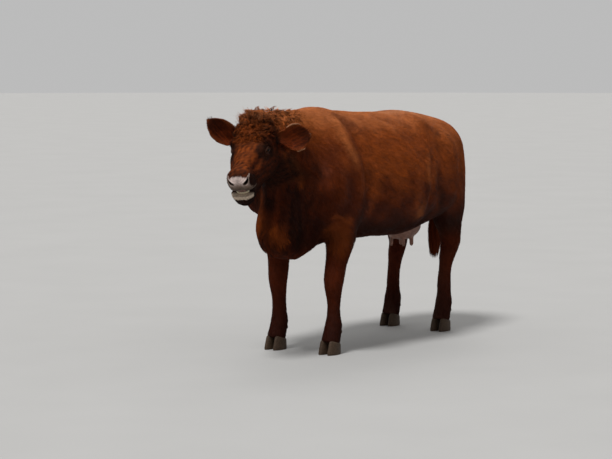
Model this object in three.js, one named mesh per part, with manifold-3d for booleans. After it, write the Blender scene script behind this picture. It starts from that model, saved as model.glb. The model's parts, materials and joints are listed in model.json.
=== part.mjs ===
// A standing beef cow, life size, in millimetres: +Z up, head towards -Y, the cow's left side at +X.
// Each body part is a capsule whose vertices are carried out along rays to the edge of a field of
// muscles. A field gives the distance to the surface, below zero inside, and fields blend softly, so
// that shoulders and thighs run into the barrel. Neighbouring parts are then cut apart.
import * as THREE from "three";
import { mergeVertices } from "three/addons/utils/BufferGeometryUtils.js";
import Module from "manifold-3d";

const wasm = await Module();
wasm.setup();

// ---- Driving dimensions -------------------------------------------------------------------------

const WITHERS_HEIGHT = 1352; // top of the coat over the shoulder blades
const BACK_HEIGHT = 1324;
const RUMP_HEIGHT = 1326;
const BELLY_HEIGHT = 590; // lowest stretch of the belly
const CHEST_FRONT_Y = -790;
const BUTTOCK_Y = 868;
const BARREL_HALF_WIDTH = 398;
const HOOK_HALF_WIDTH = 268; // hip bones
const FORE_FEET_Y = -500;
const HIND_FEET_Y = 690;
const FORE_STANCE = 182; // from the midline to the middle of each foot
const HIND_STANCE = 190;
const RIGHT_HIND_BACK = 40; // the right hind leg stands this much further back
const HEAD_LENGTH = 415; // poll to the front of the muzzle
const HEAD_AT = new THREE.Vector3(-4, -968, 1270); // the poll
const HEAD_PITCH = 33; // degrees that the face line drops below level
const HEAD_YAW = 16.5; // degrees towards the cow's left
const HEAD_ROLL = -4; // degrees about the face line, left ear up
const EYE_RADIUS = 20;
const EYE_AT = { out: 90, along: 160, up: -44 }; // in the head's own frame
const MOUTH_OPEN = 24; // between the lips at the front
const EAR_LENGTH = 204;
const CLAW_LENGTH = 112; // along the sole
const CLAW_WIDTH = 52;
const CLAW_GAP = 5; // between the two claws of a foot
const CORONET_FRONT = 76; // height of the top of the hoof, in front and at the heel
const CORONET_HEEL = 48;
const TAIL_END = 400; // height of the tip of the switch
const JOINT_GAP = 0.6; // clearance between neighbouring parts

const LEFT = 1;
const RIGHT = -1;
const SIDES = [
  ["left", LEFT],
  ["right", RIGHT],
];

// ---- Materials ----------------------------------------------------------------------------------

function finish(color, roughness) {
  return new THREE.MeshStandardMaterial({ color, roughness, metalness: 0 });
}

const coat = finish(0x6b2c15, 0.85);
const darkCoat = finish(0x3a170c, 0.88);
const paleSkin = finish(0xc9a899, 0.55);
const tongueSkin = finish(0xa8716a, 0.5);
const toothEnamel = finish(0xd8ccb0, 0.4);
const hoofHorn = finish(0x2e2622, 0.55);
const eyeball = finish(0x140c08, 0.08);

// ---- Fields -------------------------------------------------------------------------------------

const clamp = THREE.MathUtils.clamp;
const point = (x, y, z) => new THREE.Vector3(x, y, z);

// A curve through a few [position, value] stations, level before the first and after the last.
function profile(stations) {
  return (at) => {
    const last = stations.length - 1;
    if (at <= stations[0][0]) return stations[0][1];
    if (at >= stations[last][0]) return stations[last][1];
    const i = stations.findIndex(([position]) => position > at) - 1;
    const slope = (k) => {
      const a = stations[Math.max(k - 1, 0)];
      const b = stations[Math.min(k + 1, last)];
      return (b[1] - a[1]) / (b[0] - a[0]);
    };
    const [x0, y0] = stations[i];
    const [x1, y1] = stations[i + 1];
    const span = x1 - x0;
    const t = (at - x0) / span;
    const [t2, t3] = [t * t, t * t * t];
    return (
      (2 * t3 - 3 * t2 + 1) * y0 +
      (t3 - 2 * t2 + t) * slope(i) * span +
      (3 * t2 - 2 * t3) * y1 +
      (t3 - t2) * slope(i + 1) * span
    );
  };
}

// A muscle or limb: a rounded cone from a to b. flat below 1 narrows it across the body.
function limb(a, b, radiusA, radiusB = radiusA, flat = 1) {
  const along = b.clone().sub(a);
  const lengthSquared = along.lengthSq();
  return (p) => {
    const rel = p.clone().sub(a);
    const t = clamp(rel.dot(along) / lengthSquared, 0, 1);
    const off = rel.addScaledVector(along, -t);
    off.x /= flat;
    return (off.length() - THREE.MathUtils.lerp(radiusA, radiusB, t)) * flat;
  };
}

function ellipsoid(centre, radii) {
  return (p) => {
    const rel = p.clone().sub(centre);
    const near = rel.clone().divide(radii).length();
    const slope = rel.divide(radii).divide(radii).length();
    return slope > 1e-9 ? (near * (near - 1)) / slope : -Math.min(radii.x, radii.y, radii.z);
  };
}

// Fields joined with a fillet of about the given reach.
function blend(reach, ...fields) {
  return (p) =>
    fields.map((field) => field(p)).reduce((a, b) => {
      const h = Math.max(reach - Math.abs(a - b), 0) / reach;
      return Math.min(a, b) - (h * h * reach) / 4;
    });
}

function intersection(reach, ...fields) {
  const turned = fields.map((field) => (p) => -field(p));
  const joined = blend(reach, ...turned);
  return (p) => -joined(p);
}

function carve(reach, field, cutter) {
  return intersection(reach, field, (p) => -cutter(p));
}

// The same field on both sides of the body: it is drawn for the left side.
function mirrored(field) {
  return (p) => field(point(Math.abs(p.x), p.y, p.z));
}

// A body drawn by its sections: top, bottom, half width, the height of its widest place and how
// square it is above and below that place. Each is a function of the position along the body.
function sections({ top, bottom, halfWidth, widest, squareAbove, squareBelow }) {
  return (p) => {
    const [high, low, wide, mid] = [top(p.y), bottom(p.y), halfWidth(p.y), widest(p.y)];
    const above = p.z > mid;
    const reach = above ? high - mid : mid - low;
    const power = above ? squareAbove : squareBelow;
    const across = Math.abs(p.x) / wide;
    const upright = Math.abs(p.z - mid) / reach;
    const share = Math.pow(Math.pow(across, power) + Math.pow(upright, power), 1 / power);
    return (share - 1) * Math.min(wide, reach);
  };
}

// ---- Solids -------------------------------------------------------------------------------------

// A geometry's bare surface, its seams closed.
function sealed(geometry, tolerance = 1e-3) {
  const bare = geometry.clone();
  bare.deleteAttribute("normal");
  bare.deleteAttribute("uv");
  return mergeVertices(bare, tolerance);
}

// A manifold-3d solid of a closed geometry, with the triangles that collapsed at poles left out.
function solidOf(geometry) {
  const merged = sealed(geometry);
  const corners = merged.index.array;
  const kept = [];
  for (let i = 0; i < corners.length; i += 3) {
    const [a, b, c] = corners.slice(i, i + 3);
    if (a !== b && b !== c && a !== c) kept.push(a, b, c);
  }
  return new wasm.Manifold(
    new wasm.Mesh({
      numProp: 3,
      vertProperties: merged.attributes.position.array,
      triVerts: new Uint32Array(kept),
    }),
  );
}

function geometryOf(solid) {
  const made = solid.getMesh();
  const geometry = new THREE.BufferGeometry();
  geometry.setAttribute("position", new THREE.BufferAttribute(made.vertProperties, 3));
  geometry.setIndex(new THREE.BufferAttribute(made.triVerts, 1));
  geometry.computeVertexNormals();
  return geometry;
}

function largest(solid) {
  return solid.decompose().reduce((a, b) => (a.volume() > b.volume() ? a : b));
}

// How far a ray from inside a field goes before it leaves it.
function reachOf(field, from, direction) {
  const step = 4;
  let outside = 0;
  while (field(from.clone().addScaledVector(direction, outside)) < 0) outside += step;
  if (outside === 0) throw new Error(`the path leaves its field near ${from.toArray()}`);
  let inside = outside - step;
  for (let round = 0; round < 8; round += 1) {
    const half = (inside + outside) / 2;
    if (field(from.clone().addScaledVector(direction, half)) < 0) inside = half;
    else outside = half;
  }
  return (inside + outside) / 2;
}

// Moves a point to the edge of a field, along the field's slope.
function settle(field, p) {
  const probe = 1;
  for (let round = 0; round < 3; round += 1) {
    const here = field(p);
    const slope = point(
      field(point(p.x + probe, p.y, p.z)) - here,
      field(point(p.x, p.y + probe, p.z)) - here,
      field(point(p.x, p.y, p.z + probe)) - here,
    ).divideScalar(probe);
    const steep = Math.max(slope.lengthSq(), 0.05);
    p.addScaledVector(slope, -here / steep);
  }
  return p;
}

// Evens out a mesh's vertices over the edge of a field.
function even(geometry, field, rounds) {
  const places = geometry.attributes.position;
  const neighbours = Array.from({ length: places.count }, () => new Set());
  const corners = geometry.index.array;
  for (let i = 0; i < corners.length; i += 3) {
    for (let k = 0; k < 3; k += 1) {
      const [a, b] = [corners[i + k], corners[i + ((k + 1) % 3)]];
      neighbours[a].add(b);
      neighbours[b].add(a);
    }
  }
  for (let round = 0; round < rounds; round += 1) {
    for (let i = 0; i < places.count; i += 1) {
      const mean = point(0, 0, 0);
      for (const j of neighbours[i]) {
        if (j !== i) mean.add(new THREE.Vector3().fromBufferAttribute(places, j));
      }
      mean.divideScalar(neighbours[i].size - (neighbours[i].has(i) ? 1 : 0));
      const moved = new THREE.Vector3().fromBufferAttribute(places, i).lerp(mean, 0.5);
      const set = settle(field, moved);
      places.setXYZ(i, set.x, set.y, set.z);
    }
  }
  return geometry;
}

// A capsule round a path of points, its vertices carried out to the edge of the field.
// grow moves the edge outwards.
function skin(field, points, { rings, segments, caps = 4, grow = 0, rounds = 6 }) {
  const path = new THREE.CatmullRomCurve3(points);
  const capsule = sealed(new THREE.CapsuleGeometry(1, 1, caps, segments, rings), 1e-5);
  const vertices = capsule.attributes.position;
  const grown = (p) => field(p) - grow;
  const across = point(1, 0, 0);
  for (let i = 0; i < vertices.count; i += 1) {
    const local = new THREE.Vector3().fromBufferAttribute(vertices, i);
    const onAxis = clamp(local.y, -0.5, 0.5);
    const from = path.getPointAt(onAxis + 0.5);
    const along = path.getTangentAt(onAxis + 0.5);
    const side = across.clone().addScaledVector(along, -across.dot(along)).normalize();
    const other = side.clone().cross(along);
    const direction = new THREE.Vector3()
      .addScaledVector(side, local.x)
      .addScaledVector(along, local.y - onAxis)
      .addScaledVector(other, local.z)
      .normalize();
    const edge = from.clone().addScaledVector(direction, reachOf(grown, from, direction));
    vertices.setXYZ(i, edge.x, edge.y, edge.z);
  }
  return solidOf(even(capsule, grown, rounds));
}

// A box that fills the half of space that a plane's normal points into, to cut with.
function halfSpace(through, normal) {
  const size = 4000;
  const box = new THREE.BoxGeometry(size, size, size).translate(0, 0, size / 2);
  const turn = new THREE.Quaternion().setFromUnitVectors(
    point(0, 0, 1),
    normal.clone().normalize(),
  );
  box.applyQuaternion(turn).translate(through.x, through.y, through.z);
  return solidOf(box);
}

function placed(solid, matrix) {
  return solidOf(geometryOf(solid).applyMatrix4(matrix));
}

function add(name, solid, material, group) {
  const made = new THREE.Mesh(geometryOf(solid), material);
  made.name = name;
  group.add(made);
}

const cow = new THREE.Group();

// ---- Barrel, shoulders and thighs ---------------------------------------------------------------

const barrelField = intersection(
  100,
  sections({
    top: profile([
      [-760, 1240],
      [-450, WITHERS_HEIGHT - 34],
      [-200, BACK_HEIGHT + 6],
      [180, BACK_HEIGHT - 8],
      [480, RUMP_HEIGHT - 18],
      [700, 1280],
      [880, 1215],
    ]),
    bottom: profile([
      [-820, 700],
      [-620, 600],
      [-350, 600],
      [50, BELLY_HEIGHT + 14],
      [320, BELLY_HEIGHT],
      [480, BELLY_HEIGHT + 14],
      [620, 700],
      [760, 830],
      [880, 900],
    ]),
    halfWidth: profile([
      [-820, 170],
      [-620, 240],
      [-380, 318],
      [-60, 388],
      [140, BARREL_HALF_WIDTH],
      [330, 352],
      [520, 285],
      [700, 230],
      [880, 190],
    ]),
    widest: profile([
      [-820, 980],
      [-380, 930],
      [100, 900],
      [450, 980],
      [880, 1060],
    ]),
    squareAbove: 2.2,
    squareBelow: 2.1,
  }),
  (p) => p.y - BUTTOCK_Y + 24,
  (p) => CHEST_FRONT_Y - p.y,
);

const shoulders = blend(
  80,
  ellipsoid(point(0, -420, 1206), point(95, 290, 120)), // withers
  limb(point(150, -410, 1150), point(226, -640, 930), 106, 104), // shoulder blade
  limb(point(226, -630, 905), point(214, -470, 790), 104, 98), // upper arm
  limb(point(226, -420, 1020), point(218, -430, 810), 96, 94), // triceps
);

const hindquarters = blend(
  90,
  ellipsoid(point(HOOK_HALF_WIDTH - 62, 350, 1212), point(64, 80, 66)), // hook bone
  limb(point(0, 380, 1190), point(0, 740, 1160), 108, 92), // croup
  ellipsoid(point(118, 800, 1150), point(70, 64, 84)), // pin bone
  limb(point(182, 560, 1060), point(222, 560, 850), 160, 128), // thigh
  limb(point(150, 742, 1080), point(196, 740, 850), 126, 112), // buttock
  limb(point(232, 440, 900), point(236, 470, 800), 104, 96), // stifle
);

const neckColumn = limb(point(0, -460, 1050), point(6, -880, 1160), 262, 150, 0.86);
const crest = limb(point(0, -430, 1225), point(4, -900, 1258), 112, 86);
const dewlap = limb(point(6, -800, 1000), point(0, -770, 700), 92, 118, 0.62);
const brisket = ellipsoid(point(0, -690, 690), point(160, 190, 168));
const flankFold = limb(point(262, 380, 860), point(284, 190, 700), 60, 40);

const bodyField = blend(
  70,
  blend(80, barrelField, mirrored(shoulders), mirrored(hindquarters)),
  blend(80, neckColumn, crest, dewlap, brisket),
  mirrored(flankFold),
);

const NECK_CUT = { through: point(0, -600, 1350), normal: point(0, -0.91, 0.41) };
const trunkPath = [
  point(0, -720, 900),
  point(0, -500, 950),
  point(0, 100, 960),
  point(0, 690, 1020),
];
const neckPath = [point(0, -480, 1040), point(4, -680, 1080), point(6, -850, 1150)];

function makeTrunk(grow = 0) {
  const whole = skin(bodyField, trunkPath, { rings: 25, segments: 30, caps: 4, grow });
  return largest(whole.subtract(halfSpace(NECK_CUT.through, NECK_CUT.normal)));
}

const trunk = makeTrunk();
const clearOfTrunk = makeTrunk(JOINT_GAP);
add("trunk", trunk, coat, cow);

// ---- Head, in its own frame: poll at the origin, muzzle towards -Y, brow towards +Z --------------

const headShape = sections({
  top: profile([
    [-HEAD_LENGTH, -40],
    [-398, -24],
    [-360, -14],
    [-290, -8],
    [-200, 6],
    [-120, 26],
    [-40, 40],
    [30, 26],
  ]),
  bottom: profile([
    [-HEAD_LENGTH, -186],
    [-396, -216],
    [-362, -232],
    [-230, -228],
    [-130, -240],
    [-50, -230],
    [30, -190],
  ]),
  halfWidth: profile([
    [-HEAD_LENGTH, 52],
    [-388, 67],
    [-335, 66],
    [-270, 76],
    [-200, 98],
    [-140, 112],
    [-40, 110],
    [30, 96],
  ]),
  widest: profile([
    [-HEAD_LENGTH, -92],
    [-340, -92],
    [-220, -84],
    [-120, -70],
    [30, -70],
  ]),
  squareAbove: 2.5,
  squareBelow: 2.7,
});

const eyeCentre = point(EYE_AT.out, -EYE_AT.along, EYE_AT.up);
const headField = carve(
  10,
  blend(
    34,
    intersection(
      32,
      headShape,
      (p) => -HEAD_LENGTH + 4 - p.y,
      (p) => p.y - 30,
    ),
    mirrored(
      blend(
        26,
        ellipsoid(point(84, -142, -32), point(32, 44, 34)), // brow and orbit
        limb(point(88, -196, -84), point(60, -310, -96), 24, 18), // cheekbone
        ellipsoid(point(72, -112, -150), point(40, 84, 76)), // masseter
        ellipsoid(point(46, -382, -74), point(31, 34, 38)), // nostril wing
        limb(point(42, -376, -124), point(50, -338, -130), 24, 20), // upper lip
      ),
    ),
    ellipsoid(point(8, 6, 38), point(90, 82, 64)), // topknot over the poll
    ellipsoid(point(0, -56, 2), point(104, 74, 58)), // curls on the forehead
  ),
  mirrored(ellipsoid(eyeCentre.clone().add(point(12, -3, 3)), point(18, 24, 18))),
);
const headPath = [
  point(0, -10, -86),
  point(0, -140, -100),
  point(0, -280, -96),
  point(0, -372, -100),
];

const headGroup = new THREE.Group();
headGroup.position.copy(HEAD_AT);
headGroup.rotation.set(
  THREE.MathUtils.degToRad(HEAD_PITCH),
  THREE.MathUtils.degToRad(HEAD_ROLL),
  THREE.MathUtils.degToRad(HEAD_YAW),
  "ZXY",
);
cow.add(headGroup);
headGroup.updateMatrixWorld(true);

// A slab of the head below a line drawn from the muzzle back to the jaw's hinge.
function slab(line) {
  const far = -600;
  const outline = new THREE.Shape();
  outline.moveTo(line[0].x, far);
  line.forEach((corner) => outline.lineTo(corner.x, corner.y));
  outline.lineTo(line[line.length - 1].x, far);
  const width = 600;
  const sheet = new THREE.ExtrudeGeometry(outline, { depth: width, bevelEnabled: false });
  sheet.translate(0, 0, -width / 2);
  // Drawn with the head's Y and Z, pushed out along its X.
  const turn = new THREE.Matrix4().makeBasis(point(0, 1, 0), point(0, 0, 1), point(1, 0, 0));
  return solidOf(sheet.applyMatrix4(turn));
}

// The line between the lips and on to the jaw's angle; drop lowers its front end, where the mouth
// is open.
function mouthLine(drop) {
  const shut = Math.min(drop, JOINT_GAP);
  return [
    new THREE.Vector2(-HEAD_LENGTH - 60, -120 - drop),
    new THREE.Vector2(-HEAD_LENGTH + 30, -126 - drop),
    new THREE.Vector2(-316, -140 - shut),
    new THREE.Vector2(-200, -176 - shut),
    new THREE.Vector2(-90, -290 - shut),
  ];
}

function ball(radius, centre, segments, rings) {
  return solidOf(
    new THREE.SphereGeometry(radius, segments, rings).translate(centre.x, centre.y, centre.z),
  );
}

const eyes = SIDES.map(([name, side]) => [name, point(side * eyeCentre.x, eyeCentre.y, eyeCentre.z)]);
const headDetail = { rings: 18, segments: 26, caps: 4 };
const sealedHead = skin(headField, headPath, headDetail);
const HEAD_CUT = { through: point(0, -926, 1200), normal: point(0.12, -1, 0.06) };
const toHead = headGroup.matrixWorld.clone().invert();
const behindHead = placed(halfSpace(HEAD_CUT.through, HEAD_CUT.normal.clone().negate()), toHead);

// The eye's socket, open between the lids: an almond wider along the head than it is tall.
function socket(centre) {
  const lids = new THREE.SphereGeometry(1, 10, 6).scale(26, 24, 15);
  lids.translate(centre.x + Math.sign(centre.x) * 18, centre.y - 2, centre.z + 1);
  return ball(EYE_RADIUS + JOINT_GAP, centre, 12, 8).add(solidOf(lids));
}

const wholeHead = eyes.reduce(
  (head, [, centre]) => head.subtract(socket(centre)),
  sealedHead.subtract(behindHead),
);
const mouthRoof = slab(mouthLine(0));
const jawRegion = slab(mouthLine(MOUTH_OPEN));
add("head", largest(wholeHead.subtract(mouthRoof)), coat, headGroup);
add("lower_jaw", largest(wholeHead.intersect(jawRegion)), coat, headGroup);
for (const [name, centre] of eyes) {
  add(`eye_${name}`, ball(EYE_RADIUS, centre, 12, 8), eyeball, headGroup);
}

// ---- Mouth: what shows between the lips ----------------------------------------------------------

// Each is a flattened ball in the head's frame, lying clear between the roof and the jaw.
function cushion(centre, radii, tilt) {
  const form = new THREE.SphereGeometry(1, 12, 6).scale(radii.x, radii.y, radii.z);
  form.rotateX(tilt).translate(centre.x, centre.y, centre.z);
  return solidOf(form);
}

const belowRoof = slab(mouthLine(JOINT_GAP));
const jawAndGap = slab(mouthLine(MOUTH_OPEN - JOINT_GAP));
const dentalPad = cushion(point(0, -HEAD_LENGTH + 42, -126), point(42, 22, 9), 0);
add("dental_pad", largest(dentalPad.intersect(belowRoof)), paleSkin, headGroup);
const tongue = cushion(point(0, -HEAD_LENGTH + 72, -146), point(30, 30, 8), 0.1);
add("tongue", largest(tongue.subtract(jawAndGap).intersect(belowRoof)), tongueSkin, headGroup);

// Eight lower incisors, leaning forward in an arc behind the lip.
const INCISORS = 8;
const arch = { across: 34, along: 22, middle: -HEAD_LENGTH + 46 };
const incisors = Array.from({ length: INCISORS }, (_, i) => {
  const turn = THREE.MathUtils.degToRad(-66 + (132 * i) / (INCISORS - 1));
  const tooth = new THREE.SphereGeometry(1, 5, 3).scale(6.6, 4.5, 11);
  tooth.rotateX(0.3).rotateZ(turn);
  tooth.translate(arch.across * Math.sin(turn), arch.middle - arch.along * Math.cos(turn), -150);
  return solidOf(tooth);
}).reduce((row, tooth) => row.add(tooth));
add("incisors", largest(incisors.subtract(jawAndGap)), toothEnamel, headGroup);

// ---- Ears ---------------------------------------------------------------------------------------

// A cupped leaf drawn along +X from its base, hollow towards -Y.
function earLeaf(wall, forward) {
  const leaf = new THREE.SphereGeometry(1, 12, 8);
  const halfHeight = profile([
    [0, 42],
    [0.3, 54],
    [0.6, 66],
    [0.85, 60],
    [1, 42],
  ]);
  const halfDepth = profile([
    [0, 34],
    [0.5, 32],
    [1, 16],
  ]);
  const vertices = leaf.attributes.position;
  for (let i = 0; i < vertices.count; i += 1) {
    const from = new THREE.Vector3().fromBufferAttribute(vertices, i);
    const along = (1 + from.y) / 2;
    const height = (halfHeight(along) - wall) * from.z;
    const depth = (wall - halfDepth(along)) * from.x;
    const cup = (height * height) / 150;
    vertices.setXYZ(i, (EAR_LENGTH - 2 * wall) * along + wall, depth - cup - forward, height);
  }
  return solidOf(leaf);
}

function makeEar(base, direction, front) {
  const leaf = earLeaf(0, 0).subtract(earLeaf(7, 16));
  const x = direction.clone().normalize();
  const z = x.clone().cross(front.clone().negate()).normalize();
  const y = z.clone().cross(x);
  const frame = new THREE.Matrix4().makeBasis(x, y, z).setPosition(base);
  return placed(largest(leaf), frame);
}

const clearOfHead = skin(headField, headPath, { ...headDetail, grow: JOINT_GAP });
const ears = {
  left: makeEar(point(94, -22, -56), point(1, 0.02, 0), point(0.2, -0.84, 0.54)),
  right: makeEar(point(-92, -22, -60), point(-0.9, 0.05, 0.37), point(-0.1, -0.84, 0.5)),
};

// ---- Neck, between the trunk and the head --------------------------------------------------------

function shifted(cut, distance) {
  const through = cut.through.clone().addScaledVector(cut.normal.clone().normalize(), distance);
  return halfSpace(through, cut.normal);
}

const neck = skin(bodyField, neckPath, { rings: 8, segments: 26, caps: 4 })
  .intersect(shifted(NECK_CUT, JOINT_GAP))
  .subtract(shifted(HEAD_CUT, -JOINT_GAP));
add("neck", largest(neck), coat, cow);

const neckInHead = placed(largest(neck), toHead);
for (const [name] of SIDES) {
  const ear = ears[name].subtract(clearOfHead).subtract(neckInHead);
  add(`ear_${name}`, largest(ear), coat, headGroup);
}

// ---- Legs ---------------------------------------------------------------------------------------

// A chain of limbs through stations [out, back, height, radius] round the middle of the foot.
function legField(stations, extra, foot) {
  const joints = stations.map(([out, back, height]) => point(foot.x + out, foot.y + back, height));
  const limbs = joints
    .slice(1)
    .map((joint, i) => limb(joints[i], joint, stations[i][3], stations[i + 1][3]));
  const added = extra.map(([from, to]) =>
    limb(
      point(foot.x + from[0], foot.y + from[1], from[2]),
      point(foot.x + to[0], foot.y + to[1], to[2]),
      from[3],
      to[3],
    ),
  );
  return { field: blend(24, ...limbs, ...added), joints };
}

const foreLeg = {
  name: "foreleg",
  split: 396,
  stations: [
    [34, 64, 800, 104],
    [26, 34, 650, 82],
    [8, 6, 470, 56],
    [3, -4, 400, 53],
    [0, 0, 335, 42],
    [0, 3, 230, 37],
    [0, 4, 150, 46],
    [0, -16, 106, 43],
    [0, -30, 66, 50],
  ],
  extra: [
    [
      [30, 118, 790, 60],
      [16, 52, 600, 52],
    ], // the point of the elbow
  ],
};
const hindLeg = {
  name: "hindleg",
  split: 520,
  stations: [
    [36, -60, 850, 122],
    [26, 14, 740, 96],
    [12, 56, 640, 68],
    [3, 42, 530, 57],
    [0, 28, 450, 46],
    [0, 12, 300, 39],
    [0, 2, 160, 48],
    [0, -16, 108, 45],
    [0, -32, 66, 51],
  ],
  extra: [
    [
      [6, 104, 800, 86],
      [3, 86, 594, 35],
    ], // hamstring and the tendon down to the point of the hock
    [
      [44, -190, 830, 84],
      [14, 6, 600, 54],
    ], // the shin, from the stifle
  ],
};

const coronet = {
  through: point(0, -78, CORONET_FRONT),
  normal: point(0, CORONET_FRONT - CORONET_HEEL, 96),
};

function above(height) {
  return halfSpace(point(0, 0, height), point(0, 0, 1));
}

function below(height) {
  return halfSpace(point(0, 0, height), point(0, 0, -1));
}

function coronetAt(foot, lift) {
  const through = coronet.through.clone().add(point(0, foot.y, lift));
  return halfSpace(through, coronet.normal);
}

// One claw in the foot's own place: its toe towards -Y, its flat sole on the floor.
function claw(foot, out) {
  const round = 9;
  const toe = -98;
  const heel = toe + CLAW_LENGTH;
  const outline = new THREE.Shape();
  outline.moveTo(toe, 0);
  outline.lineTo(toe + 4, 16);
  outline.lineTo(-76, CORONET_FRONT + 10);
  outline.lineTo(heel + 2, CORONET_FRONT + 10);
  outline.lineTo(heel + 6, CORONET_HEEL - 12);
  outline.lineTo(heel, 0);
  const block = new THREE.ExtrudeGeometry(outline, {
    depth: CLAW_WIDTH - 2 * round,
    bevelThickness: round,
    bevelSize: round,
    bevelOffset: -round,
    bevelSegments: 2,
  });
  block.translate(0, 0, -CLAW_WIDTH / 2 + round);
  const turn = new THREE.Matrix4().makeBasis(point(0, 1, 0), point(0, 0, 1), point(1, 0, 0));
  block.applyMatrix4(turn).translate(foot.x + out, foot.y, 0);
  return solidOf(block).subtract(coronetAt(foot, 0));
}

function dewclaw(foot, out, back, height) {
  const horn = new THREE.SphereGeometry(1, 6, 4).scale(13, 14, 19);
  horn.rotateX(0.5).translate(foot.x + out, foot.y + back, height);
  return solidOf(horn);
}

const legDetail = { rings: 15, segments: 10, caps: 2, rounds: 3 };
for (const [sideName, side] of SIDES) {
  const back = side === RIGHT ? RIGHT_HIND_BACK : 0;
  const feet = [
    [foreLeg, point(FORE_STANCE, FORE_FEET_Y, 0)],
    [hindLeg, point(HIND_STANCE, HIND_FEET_Y + back, 0)],
  ];
  for (const [leg, foot] of feet) {
    // Drawn for the left side, then turned over for the right one.
    const mirror = (solid) => (side === RIGHT ? solid.mirror([1, 0, 0]) : solid);
    const { field, joints } = legField(leg.stations, leg.extra, foot);
    const whole = skin(field, joints, legDetail);
    const standing = mirror(whole.intersect(coronetAt(foot, JOINT_GAP)));
    const upper = largest(standing.intersect(above(leg.split)).subtract(clearOfTrunk));
    add(`${leg.name}_upper_${sideName}`, upper, coat, cow);
    const dewclaws = [
      ["inner", dewclaw(foot, -21, 36, 122)],
      ["outer", dewclaw(foot, 21, 36, 122)],
    ];
    const lower = standing.intersect(below(leg.split - JOINT_GAP));
    add(`${leg.name}_lower_${sideName}`, largest(lower), darkCoat, cow);
    const behindLeg = mirror(skin(field, joints, { ...legDetail, grow: JOINT_GAP }));
    for (const [place, horn] of dewclaws) {
      const showing = mirror(horn).subtract(behindLeg);
      add(`${leg.name}_dewclaw_${place}_${sideName}`, largest(showing), hoofHorn, cow);
    }
    const apart = (CLAW_WIDTH + CLAW_GAP) / 2;
    for (const [place, out] of [
      ["inner", -apart],
      ["outer", apart],
    ]) {
      add(`${leg.name}_claw_${place}_${sideName}`, mirror(claw(foot, out)), hoofHorn, cow);
    }
  }
}

// ---- Udder and tail -------------------------------------------------------------------------------

const UDDER = { y: 520, z: 646, halfWidth: 112, halfLength: 142, halfHeight: 100 };
const teatPlaces = [
  ["front_left", 42, -50],
  ["front_right", -42, -50],
  ["rear_left", 38, 48],
  ["rear_right", -38, 48],
];
const udderForm = new THREE.SphereGeometry(1, 16, 9);
udderForm.scale(UDDER.halfWidth, UDDER.halfLength, UDDER.halfHeight).translate(0, UDDER.y, UDDER.z);
const udder = largest(solidOf(udderForm).subtract(clearOfTrunk));
add("udder", udder, paleSkin, cow);
const udderGrown = new THREE.SphereGeometry(1, 16, 9).scale(
  UDDER.halfWidth + JOINT_GAP,
  UDDER.halfLength + JOINT_GAP,
  UDDER.halfHeight + JOINT_GAP,
);
const clearOfUdder = solidOf(udderGrown.translate(0, UDDER.y, UDDER.z));
for (const [name, out, back] of teatPlaces) {
  const teat = new THREE.CapsuleGeometry(12, 38, 2, 6, 1);
  teat.rotateX(Math.PI / 2).translate(out, UDDER.y + back, UDDER.z - UDDER.halfHeight - 8);
  add(`teat_${name}`, largest(solidOf(teat).subtract(clearOfUdder)), paleSkin, cow);
}

const tailStations = [
  [point(0, 800, 1212), 46],
  [point(0, 876, 1190), 36],
  [point(0, 908, 1110), 27],
  [point(0, 914, 900), 21],
  [point(0, 908, 720), 20],
  [point(0, 906, 590), 44],
  [point(0, 902, 470), 40],
  [point(0, 900, TAIL_END + 18), 18],
];
const tailField = blend(
  16,
  ...tailStations.slice(1).map(([to, radius], i) => {
    const [from, radiusBefore] = tailStations[i];
    return limb(from, to, radiusBefore, radius);
  }),
);
const SWITCH_TOP = 712;
const wholeTail = skin(tailField, tailStations.map(([place]) => place), {
  rings: 15,
  segments: 9,
  caps: 3,
  rounds: 3,
});
const dock = wholeTail.intersect(above(SWITCH_TOP)).subtract(clearOfTrunk);
add("tail", largest(dock), coat, cow);
add("tail_switch", largest(wholeTail.intersect(below(SWITCH_TOP - JOINT_GAP))), darkCoat, cow);

// The middle of the cow's outline stands over the origin.
const outline = new THREE.Box3().setFromObject(cow, true);
const middle = outline.getCenter(new THREE.Vector3());
cow.position.set(-middle.x, -middle.y, -outline.min.z);

export default cow;
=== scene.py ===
import collections
import functools
import json
import math

import bpy
import numpy as np
from mathutils import Matrix, Vector
from mathutils.bvhtree import BVHTree

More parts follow.
